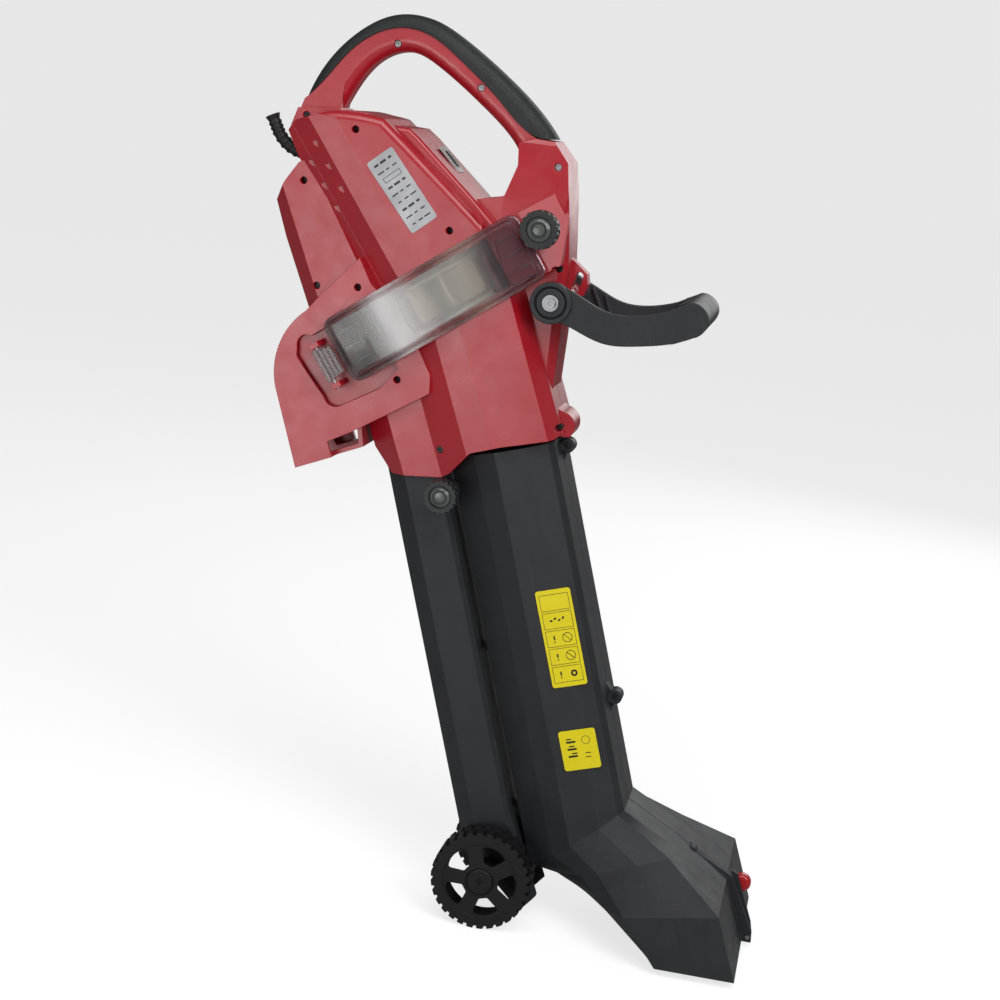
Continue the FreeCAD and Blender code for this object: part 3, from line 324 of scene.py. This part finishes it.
def grip_rubber():
    """Soft rubber with a fine regular pebble."""
    material, tree, shader = start_material("grip_rubber", 0.55)
    pebble = 1.6 * MM
    cells = add(tree, "ShaderNodeTexVoronoi", Vector=object_place(tree), Scale=1 / pebble, Randomness=0.35)
    height = spread(tree, cells.outputs["Distance"], 1.0, 0.0, 0.1, 0.6)
    patches = spread(tree, noise(tree, 0.03, 4.0), 0.0, 1.0)
    paint = blend_colours(tree, patches, (0.014, 0.015, 0.015), (0.024, 0.026, 0.026))
    plug_in(tree, shader, Base_Color=paint, Normal=bump(tree, height, 0.0004, 0.8))
    return material


def steel():
    material, tree, shader = start_material("steel", 0.34, Metallic=1.0)
    patches = spread(tree, noise(tree, 0.004, 4.0), 0.0, 1.0)
    paint = blend_colours(tree, patches, (0.34, 0.34, 0.35), (0.46, 0.46, 0.47))
    gloss = spread(tree, noise(tree, 0.002, 4.0), 0.28, 0.42)
    plug_in(tree, shader, Base_Color=paint, Roughness=gloss)
    return material


def along_cover(tree):
    """How far a point lies from the cover's hinge towards its knob: 0 at the hinge, 1 at the knob."""
    hinge_a = MOTOR.across.dot(joint_places["cover_open"])
    knob_a = MOTOR.across.dot(joint_places["cover_knob_turn"])
    dot = add(tree, "ShaderNodeVectorMath", operation="DOT_PRODUCT")
    tree.links.new(object_place(tree), dot.inputs[0])
    dot.inputs[1].default_value = MOTOR.across
    wander = spread(tree, noise(tree, 0.05, 2.0), -0.004, 0.004)
    place = add(tree, "ShaderNodeMath", operation="ADD")
    tree.links.new(dot.outputs["Value"], place.inputs[0])
    tree.links.new(wander, place.inputs[1])
    return spread(tree, place.outputs[0], 0.0, 1.0, hinge_a, knob_a)


def ramp(tree, value, stops):
    """A smooth run of colours: stops are (place, colour)."""
    node = add(tree, "ShaderNodeValToRGB")
    node.color_ramp.interpolation = "EASE"
    elements = node.color_ramp.elements
    while len(elements) < len(stops):
        elements.new(0.5)
    for element, (place, colour) in zip(elements, stops):
        element.position = place
        element.color = (*colour, 1.0)
    tree.links.new(value, node.inputs["Fac"])
    return node.outputs["Color"]


# along the cover from hinge to knob: the place, and the colour there: the plastic's grey with painted shade
# darkening both ends, a painted highlight milky white a third of the way along, and the impeller behind
# painted in beige further on
COVER_PAINTED_LIGHT_AND_SHADE = ((0.10, (0.42, 0.46, 0.46)), (0.22, (0.60, 0.64, 0.63)), (0.34, (0.97, 0.95, 0.96)),
               (0.46, (0.92, 0.89, 0.87)), (0.54, (0.66, 0.64, 0.60)), (0.68, (0.90, 0.87, 0.78)),
               (0.80, (0.58, 0.50, 0.54)), (0.96, (0.62, 0.50, 0.56)))
# the place, and how much light passes; it passes least a third of the way along, under the painted
# highlight
COVER_CLARITY = ((0.20, 0.97), (0.33, 0.62), (0.48, 0.96), (0.70, 0.90), (0.82, 0.97))


def clear_cover():
    """Translucent plastic, finely frosted, with painted shade darkening both ends and a painted highlight
    milky white in between.
    """
    material, tree, shader = start_material("clear_cover", 0.2, IOR=1.38, Specular_IOR_Level=0.8,
                                            Coat_Weight=0.5, Coat_Roughness=0.12)
    place = along_cover(tree)
    # the colour carries painted shade at both ends and a painted highlight a third of the way along
    painted_light_colour = ramp(tree, place, COVER_PAINTED_LIGHT_AND_SHADE)
    clarity = ramp(tree, place, [(stop, (amount, amount, amount)) for stop, amount in COVER_CLARITY])
    gloss = spread(tree, noise(tree, 0.02, 3.0), 0.18, 0.23)
    plug_in(tree, shader, Base_Color=painted_light_colour, Roughness=gloss, Transmission_Weight=clarity)
    return material


# the plainer materials: colour, roughness and what else differs
PLAIN = {
    "dark_steel": ((0.05, 0.05, 0.05), 0.40, {"Metallic": 0.8}),
    "knob_button": ((0.10, 0.105, 0.10), 0.24, {"Coat_Weight": 0.3}),
    "label_ink": ((0.012, 0.012, 0.010), 0.35, {}),
    "knob_plastic": ((0.016, 0.017, 0.018), 0.40, {}),
    "boot_rubber": ((0.010, 0.010, 0.010), 0.50, {}),
    "clear_frame": ((0.75, 0.75, 0.73), 0.15, {"Transmission_Weight": 0.4}),
    "lamination": ((0.20, 0.20, 0.22), 0.40, {"Metallic": 0.9}),
    "copper": ((0.60, 0.22, 0.08), 0.35, {"Metallic": 0.9}),
    "carbon": ((0.03, 0.03, 0.03), 0.60, {}),
    "brush_brass": ((0.70, 0.48, 0.16), 0.30, {"Metallic": 1.0}),
    "fan_plastic": ((0.62, 0.56, 0.38), 0.45, {}),
    "impeller_alloy": ((0.70, 0.66, 0.55), 0.50, {}),
    "lever_red": ((0.50, 0.008, 0.012), 0.25, {"Coat_Weight": 0.4}),
    "label_yellow": ((0.86, 0.72, 0.004), 0.28, {"mottle": 0.03}),
    "plate_silver": ((0.36, 0.36, 0.37), 0.30, {"Metallic": 0.5}),
    "electric_body": ((0.02, 0.02, 0.022), 0.45, {}),
    "electric_yellow": ((0.62, 0.36, 0.03), 0.30, {}),
    "rocker_green": ((0.004, 0.030, 0.014), 0.22, {}),
}
MAKERS = {"red_plastic": red_plastic, "black_plastic": tube_plastic, "wheel_plastic": wheel_plastic,
          "grip_rubber": grip_rubber, "steel": steel, "clear_cover": clear_cover}


def make_materials():
    """Every material by its name, which is a slot's name in the record or one used only here."""
    made = {name: maker() for name, maker in MAKERS.items()}
    for name, (colour, roughness, others) in PLAIN.items():
        made[name] = moulded(name, colour, roughness, **others)
    return made


MATERIALS = make_materials()


# ------------------------------------------------------------------ dressing the CAD pieces
def new_group(name):
    """An empty geometry node group, with its way in and its way out."""
    tree = bpy.data.node_groups.new(name, "GeometryNodeTree")
    tree.interface.new_socket("Geometry", in_out="INPUT", socket_type="NodeSocketGeometry")
    tree.interface.new_socket("Geometry", in_out="OUTPUT", socket_type="NodeSocketGeometry")
    return tree, tree.nodes.new("NodeGroupInput"), tree.nodes.new("NodeGroupOutput")


def chain(tree, *steps):
    """Links nodes one after another through their first sockets."""
    for before, after in zip(steps, steps[1:]):
        tree.links.new(before.outputs[0], after.inputs[0])


def mark_sharp(tree, selection):
    """A node that marks the selected edges sharp."""
    edges = tree.nodes.new("GeometryNodeSetShadeSmooth")
    edges.domain = "EDGE"
    edges.inputs["Shade Smooth"].default_value = False
    tree.links.new(selection, edges.inputs["Selection"])
    return edges


def steeper_than(tree, degrees):
    """True on edges whose faces turn by more than the angle."""
    angle = tree.nodes.new("GeometryNodeInputMeshEdgeAngle")
    steep = tree.nodes.new("FunctionNodeCompare")
    steep.operation = "GREATER_THAN"
    steep.inputs[1].default_value = math.radians(degrees)
    tree.links.new(angle.outputs["Unsigned Angle"], steep.inputs[0])
    return steep.outputs[0]


def joining_group():
    """Geometry nodes that drop the imported normals and join doubled points.

    Edges between two CAD faces arrive split, so a gentle crease among them is told from a round
    surface and marked sharp.
    """
    tree, start, end = new_group("join_points")
    drop = tree.nodes.new("GeometryNodeRemoveAttribute")
    drop.inputs["Name"].default_value = "custom_normal"
    neighbours = tree.nodes.new("GeometryNodeInputMeshEdgeNeighbors")
    open_edge = tree.nodes.new("FunctionNodeCompare")
    open_edge.data_type = "INT"
    open_edge.operation = "EQUAL"
    tree.links.new(neighbours.outputs[0], open_edge.inputs[2])
    open_edge.inputs[3].default_value = 1
    split = tree.nodes.new("GeometryNodeStoreNamedAttribute")
    split.data_type = "BOOLEAN"
    split.domain = "EDGE"
    split.inputs["Name"].default_value = "split"
    tree.links.new(open_edge.outputs[0], split.inputs["Value"])
    join = tree.nodes.new("GeometryNodeMergeByDistance")
    join.inputs["Distance"].default_value = join_distance
    read = tree.nodes.new("GeometryNodeInputNamedAttribute")
    read.data_type = "BOOLEAN"
    read.inputs["Name"].default_value = "split"
    crease = tree.nodes.new("FunctionNodeBooleanMath")
    crease.operation = "AND"
    tree.links.new(read.outputs["Attribute"], crease.inputs[0])
    tree.links.new(steeper_than(tree, crease_degrees), crease.inputs[1])
    smooth = tree.nodes.new("GeometryNodeSetShadeSmooth")
    chain(tree, start, drop, split, join, smooth, mark_sharp(tree, crease.outputs[0]), end)
    return tree


def shading_group():
    """Geometry nodes that shade smooth across every edge flatter than the angle."""
    tree, start, end = new_group("shade_by_angle")
    faces = tree.nodes.new("GeometryNodeSetShadeSmooth")
    chain(tree, start, faces, mark_sharp(tree, steeper_than(tree, sharp_degrees)), end)
    return tree


JOIN = joining_group()
SHADE = shading_group()


SLOTS = {entry["node"]: entry["material_slot"] for entry in record["subparts"]}
SPECIAL = {"housing_screws": "dark_steel", "tube_screws": "dark_steel"}
BEVELS = {                    # mm
    "housing_left": 0.35, "housing_right": 0.35, "suction_tube_left": 0.7, "suction_tube_right": 0.7,
    "blower_tube_left": 0.6, "blower_tube_right": 0.6, "front_handle": 0.9, "handle_grip": 0.5,
    "cleaning_cover": 0.4, "wheel_left": 0.4, "wheel_right": 0.4, "cover_knob": 0.4, "tube_knob": 0.4,
}


def dress(name, bevel):
    """Joins a CAD piece's triangles into faces and breaks its sharp edges by bevel metres."""
    piece = nodes[name]
    piece.modifiers.new("join_points", "NODES").node_group = JOIN
    flats = piece.modifiers.new("flats", "DECIMATE")
    flats.decimate_type = "DISSOLVE"
    flats.angle_limit = math.radians(flat_degrees)
    if bevel:
        edges = piece.modifiers.new("edges", "BEVEL")
        edges.width = bevel
        edges.segments = 2
        edges.limit_method = "ANGLE"
        edges.angle_limit = math.radians(25)
        edges.use_clamp_overlap = False
        edges.miter_outer = "MITER_ARC"
        edges.loop_slide = False
    piece.modifiers.new("shade_by_angle", "NODES").node_group = SHADE
    piece.modifiers.new("weigh_normals", "WEIGHTED_NORMAL").keep_sharp = True
    piece.data.materials.clear()
    piece.data.materials.append(MATERIALS[SPECIAL.get(name, SLOTS[name])])


for name in nodes:
    dress(name, BEVELS.get(name, small_bevel) * MM)


# ------------------------------------------------------------------ building meshes
def skin(rings):
    """Points and faces of a closed body through matching rings of points, flat at both ends."""
    count = len(rings[0])
    points = [point for ring in rings for point in ring]
    faces = [tuple(range(count)), tuple(reversed(range(len(points) - count, len(points))))]
    for step in range(len(rings) - 1):
        for place in range(count):
            after = (place + 1) % count
            low, high = step * count, (step + 1) * count
            faces.append((low + after, low + place, high + place, high + after))
    return points, faces


def build(name, parts, body, slot, bevel=0.0):
    """One piece made of closed bodies, riding on a CAD body, with its slot's material."""
    points, faces = [], []
    for part_points, part_faces in parts:
        start = len(points)
        points += part_points
        faces += [tuple(start + corner for corner in face) for face in part_faces]
    mesh = bpy.data.meshes.new(name)
    mesh.from_pydata(points, [], faces)
    work = bmesh.new()
    work.from_mesh(mesh)
    bmesh.ops.recalc_face_normals(work, faces=work.faces)
    work.to_mesh(mesh)
    work.free()
    piece = bpy.data.objects.new(name, mesh)
    bpy.context.scene.collection.objects.link(piece)
    if bevel:
        edges = piece.modifiers.new("edges", "BEVEL")
        edges.width = bevel
        edges.segments = 3
        edges.limit_method = "ANGLE"
        edges.angle_limit = math.radians(30)
    piece.modifiers.new("shade_by_angle", "NODES").node_group = SHADE
    mesh.materials.append(MATERIALS[slot])
    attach(piece, body)
    return piece


def rounded_rectangle(half_across, half_along, radius, steps=6):
    """Points (across, along) round a rectangle with round corners."""
    points = []
    for quarter, (side_a, side_l) in enumerate(((1, 1), (-1, 1), (-1, -1), (1, -1))):
        for step in range(steps + 1):
            angle = math.pi / 2 * (quarter + step / steps)
            points.append((side_a * (half_across - radius) + radius * math.cos(angle),
                           side_l * (half_along - radius) + radius * math.sin(angle)))
    return points


def box_body(lean, middle, half_across, half_along, low_y, high_y, radius=0.0005, steps=3, turn=0.0):
    """A round-cornered flat block; middle is (across, along), turn is in degrees."""
    cos, sin = math.cos(math.radians(turn)), math.sin(math.radians(turn))
    outline = []
    for across, along in rounded_rectangle(half_across, half_along, radius, steps):
        outline.append((middle[0] + across * cos - along * sin, middle[1] + across * sin + along * cos))
    return skin([[lean.at(a, y, l) for a, l in outline] for y in (low_y, high_y)])


def ring_body(lean, middle, outer, inner, low_y, high_y, steps=32):
    """A flat ring as a closed band."""
    profile = [(outer, low_y), (outer, high_y), (inner, high_y), (inner, low_y)]
    points, faces = [], []
    for step in range(steps):
        angle = 2 * math.pi * step / steps
        for radius, y in profile:
            points.append(lean.at(middle[0] + radius * math.cos(angle), y,
                                  middle[1] + radius * math.sin(angle)))
    sides = len(profile)
    for step in range(steps):
        here, there = step * sides, (step + 1) % steps * sides
        for place in range(sides):
            after = (place + 1) % sides
            faces.append((here + place, here + after, there + after, there + place))
    return points, faces


def turned_body(lean, middle, profile, steps=40):
    """A body turned about Y from a profile of (radius, y); both ends are closed flat."""
    rings = []
    for radius, y in profile:
        ring = []
        for step in range(steps):
            angle = 2 * math.pi * step / steps
            ring.append(lean.at(middle[0] + radius * math.cos(angle), y,
                                middle[1] + radius * math.sin(angle)))
        rings.append(ring)
    return skin(rings)


# ------------------------------------------------------------------ the cleaning cover
# mm
crown_height = 2.6            # that the cover's face rises in the middle
crown_fall = 2.4              # how many times that it falls from the middle to the ends
tray_from_hinge = 19.0
tray_corner = 11.0            # radius of the outline's corners
smallest_corner = 2.0
# up the outside, over the face and back down the inside: inset from the outline, depth below the face,
# share of the crown
TRAY_LEVELS = ((0.0, 13.4, 0.0), (0.0, 9.6, 0.0), (0.8, 8.8, 0.0), (3.4, 8.4, 0.0), (4.4, 7.2, 0.3),
               (6.2, 1.6, 1.0), (7.4, 0.4, 1.0), (9.0, 0.0, 1.0),
               (10.2, 2.4, 1.0), (8.4, 3.4, 1.0), (7.0, 8.6, 0.3), (5.6, 10.6, 0.0), (2.2, 11.2, 0.0),
               (2.0, 13.4, 0.0))
face_level = 7                # the last level outside; the next one is the first inside

fin_pitch = 17.0
fin_length = 26.0
fin_inset = 11.0              # from the tray's end to the fins' thick ends
fin_thick, fin_thin = 1.3, 0.4        # half thickness at each end
fin_back = 3.0                # from the cover's face back to where the fins' depths start
fin_depths = (2.6, 9.0, 3.6)  # front edge, then the back edge at the thick end and at the thin end

rib_pitch = 5.2
rib_half = 2.3
rib_shorter = (0.0, 1.5, 2.5, 3.0)    # each rib, from the hinge towards the tray
tab_across, tab_along = 18.0, 13.0    # half sizes of the tab under the knob
tab_round = 8.0


def long_ring(half_across, half_along, radius, steps=6, runs=20):
    """Points round a rectangle with round corners: up one long side's run, and back down the other."""
    upper = []
    for step in range(steps + 1):
        angle = math.pi / 2 * step / steps
        upper.append((half_across - radius + radius * math.cos(angle),
                      half_along - radius + radius * math.sin(angle)))
    straight = 2 * (half_across - radius)
    for step in range(1, runs):
        upper.append((half_across - radius - straight * step / runs, half_along))
    upper += [(-across, along) for across, along in reversed(upper[:steps + 1])]
    return upper + [(across, -along) for across, along in reversed(upper)]


def cover_sizes():
    """The tray's middle and half size across and along, in metres."""
    hinge_a = MOTOR.across.dot(joint_places["cover_open"])
    middle_a = MOTOR.across.dot(joint_places["motor_spin"])
    low_l, high_l = MOTOR.span("cleaning_cover", MOTOR.along)
    half_a = middle_a - hinge_a - tray_from_hinge * MM
    return middle_a, half_a, (low_l + high_l) / 2, (high_l - low_l) / 2


cover_middle_a, cover_half_a, cover_middle_l, cover_half_l = cover_sizes()
cover_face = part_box("cleaning_cover")[0][1]       # where its face is across the machine


def tray_ring(inset, depth, crown_share):
    """One level of the tray: the outline drawn in by inset, at a depth below the crowned face."""
    corner = max(smallest_corner, tray_corner - inset) * MM
    ring = []
    for across, along in long_ring(cover_half_a - inset * MM, cover_half_l - inset * MM, corner):
        crown = crown_share * crown_height * MM * (1.0 - crown_fall * (across / cover_half_a) ** 2)
        ring.append(MOTOR.at(cover_middle_a + across, cover_face + depth * MM - crown,
                             cover_middle_l + along))
    return ring


def cover_tray():
    """A raised, gently crowned tray with a flat rim, open towards the housing."""
    rings = [tray_ring(*level) for level in TRAY_LEVELS]
    points, faces = skin(rings)
    count = len(rings[0])
    outside = face_level * count
    inside = outside + count
    # skin's flat ends and the band between the two faces' rims go, so that both faces can be closed
    faces = [face for face in faces[2:] if not (outside <= min(face) < inside and max(face) >= inside)]
    for start in (outside, inside):
        for step in range(count // 2 - 1):
            faces.append((start + step, start + step + 1, start + count - 2 - step,
                          start + count - 1 - step))
    last = (len(rings) - 1) * count
    for place in range(count):
        after = (place + 1) % count
        faces.append((place, after, last + after, last + place))
    return points, faces


def cover_fins():
    """Three thin fins behind the cover's face at each end."""
    low_y = cover_face + fin_back * MM
    front, thick_back, thin_back = (low_y + depth * MM for depth in fin_depths)
    fins = []
    for side in (-1, 1):
        start = cover_middle_a + side * (cover_half_a - fin_inset * MM)
        end = start - side * fin_length * MM
        corners = [(start, front, fin_thick), (start, thick_back, fin_thick),
                   (end, thin_back, fin_thin), (end, front, fin_thin)]
        for step in (-1, 0, 1):
            along = cover_middle_l + step * fin_pitch * MM
            fins.append(skin([[MOTOR.at(a, y, along + way * half * MM) for a, y, half in corners]
                              for way in (-1, 1)]))
    return fins


def hinge_ribs():
    """The ribbed clear block that turns on the hinge pin."""
    hinge = joint_places["cover_open"]
    low_l, high_l = MOTOR.span("cover_hinge_pin", MOTOR.along)
    low_l += 9.5 * MM
    high_l -= 8.5 * MM
    ribs = []
    for step, shorter in enumerate(rib_shorter):
        across = MOTOR.across.dot(hinge) + (step * rib_pitch - 2) * MM
        half_l = (high_l - low_l) / 2 - shorter * MM
        ribs.append(box_body(MOTOR, (across, (low_l + high_l) / 2), rib_half * MM, half_l,
                             hinge.y - 8.5 * MM, hinge.y - 1.8 * MM, 1.2 * MM))
    return ribs


def knob_tab():
    """The tab that the clamping knob presses on."""
    knob = joint_places["cover_knob_turn"]
    middle = (MOTOR.across.dot(knob) - 4 * MM, MOTOR.along.dot(knob))
    return box_body(MOTOR, middle, tab_across * MM, tab_along * MM,
                    cover_face + 4.5 * MM, cover_face + 8 * MM, tab_round * MM, steps=6)


def cleaning_cover():
    bodies = [cover_tray()] + cover_fins() + hinge_ribs() + [knob_tab()]
    cover = build("clear_cover", bodies, "cover", "clear_cover", 0.3 * MM)
    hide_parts("cleaning_cover")


# ------------------------------------------------------------------ prints on the labels
def leaning(degrees):
    """Up the lean of a piece that leans back by so many degrees."""
    return Vector((-math.sin(math.radians(degrees)), 0.0, math.cos(math.radians(degrees))))


class Print:
    """Flat ink marks just proud of a label's face. Places are (across, along) from the label's middle,
    in metres; sizes are in mm.
    """

    def __init__(self, label, degrees):
        self.label = label
        self.lean = Lean(leaning(degrees))
        self.middle_a, self.middle_l, self.half_a, self.half_l = self.lean.frame_of(label)
        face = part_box(label)[0][1]
        self.low_y, self.high_y = face - 0.12 * MM, face + 0.1 * MM
        self.bodies = []

    def bar(self, place, half_a, half_l, radius, turn=0.0):
        """A round-cornered bar; half_a and half_l are half its sizes."""
        middle = (self.middle_a + place[0], self.middle_l + place[1])
        self.bodies.append(box_body(self.lean, middle, half_a * MM, half_l * MM, self.low_y, self.high_y,
                                    radius * MM, turn=turn))

    def ring(self, place, outer, inner):
        middle = (self.middle_a + place[0], self.middle_l + place[1])
        self.bodies.append(ring_body(self.lean, middle, outer * MM, inner * MM, self.low_y, self.high_y))

    def frame(self, place, half_a, half_l, line):
        """Four thin bars round a field; line is half their width."""
        for side in (-1, 1):
            self.bar((place[0] + side * half_a * MM, place[1]), line, half_l + line, line * 0.8)
            self.bar((place[0], place[1] + side * half_l * MM), half_a - 1.2 * line, line, line * 0.8)

    def finish(self):
        build(self.label + "_print", self.bodies, "frame", "label_ink")


def crossed_ring(marks, place):
    marks.ring(place, 5.4, 4.7)
    marks.bar(place, 0.35, 4.7, 0.3, turn=45)


def bar_over_dot(marks, place):
    marks.bar((place[0], place[1] + 1 * MM), 0.8, 2.4, 0.7)
    marks.bar((place[0], place[1] - 3.4 * MM), 0.8, 0.8, 0.7)


def dot_row(marks, place):
    for dot in range(4):
        middle = (place[0] + dot * 4.4 * MM, place[1] + (dot % 2) * 2 * MM)
        marks.bar(middle, 1.5, 1.1, 0.9, turn=20 * dot)


def long_label_print():
    """Five outlined fields from the bottom up: ring, two crossed rings, a row of dots, an empty one."""
    marks = Print("long_label", tube_degrees)
    fields = 5
    cell = (2 * marks.half_l - 8 * MM) / fields
    left, right = -0.38 * marks.half_a, 0.36 * marks.half_a
    for row in range(fields):
        along = (row - 2) * cell
        marks.frame((0.0, along), marks.half_a / MM - 3.4, cell / 2 / MM - 1.2, 0.25)
        if row in (1, 2):
            crossed_ring(marks, (right, along))
        if row == 3:
            dot_row(marks, (left, along))
        if row in (0, 1, 2):
            bar_over_dot(marks, (left, along))
        if row == 0:
            marks.ring((right, along), 3.6, 1.6)
    marks.finish()


def square_label_print():
    """Bars of two heights on one side, a ring over two short bars on the other."""
    marks = Print("square_label", tube_degrees)
    left, right = -0.40 * marks.half_a, 0.42 * marks.half_a
    marks.ring((right, 0.45 * marks.half_l), 4.6, 4.1)
    for step in range(3):
        along = marks.half_l * (0.42 - 0.36 * step)
        marks.bar((left, along), 5.2, 1.1, 1.0)
        marks.bar((left + (step - 1) * 2 * MM, along + 3.2 * MM), 3.0, 0.7, 0.6)
    for step in range(2):
        marks.bar((right, -marks.half_l * (0.2 + 0.2 * step)), 3.0, 0.5, 0.4)
    marks.finish()


def plate_print():
    """Rows of short bars that stand for a rating plate's print, with one outlined field."""
    marks = Print("rating_plate", plate_degrees)
    rows = 9
    outlined_row = 2
    reach = 0.82 * marks.half_l
    for row in range(rows):
        along = reach - row * 2 * reach / (rows - 1)
        if row == outlined_row:
            marks.frame((0.0, along), 0.62 * marks.half_a / MM, 2.6, 0.3)
            continue
        tall = 0.75 if row % 3 else 1.2
        for word in range(3):
            wide = (2.6, 3.6, 1.9)[(row + word) % 3]
            marks.bar((marks.half_a * (word - 1) * 0.52, along), wide, tall, 0.4)
    marks.finish()


# ------------------------------------------------------------------ knob centres
# from the rim inwards: share of the knob's radius, mm behind the knob's face
BUTTON_PROFILE = ((0.60, 3.4), (0.60, 2.6), (0.52, 1.9), (0.50, 2.4), (0.42, 1.6), (0.26, 0.9), (0.08, 0.6))


def knob_centre(name, joint, body):
    """The grey domed button in the middle of a clamping knob."""
    place = joint_places[joint]
    middle = (MOTOR.across.dot(place), MOTOR.along.dot(place))
    low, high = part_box(name)
    radius = (high[0] - low[0]) / 2
    profile = [(radius * share, low[1] + depth * MM) for share, depth in BUTTON_PROFILE]
    piece = build(name + "_centre", [turned_body(MOTOR, middle, profile)], body, "knob_button")


cleaning_cover()
long_label_print()
square_label_print()
plate_print()
knob_centre("cover_knob", "cover_knob_turn", "cover_knob")
knob_centre("tube_knob", "tube_knob_turn", "tube_knob")
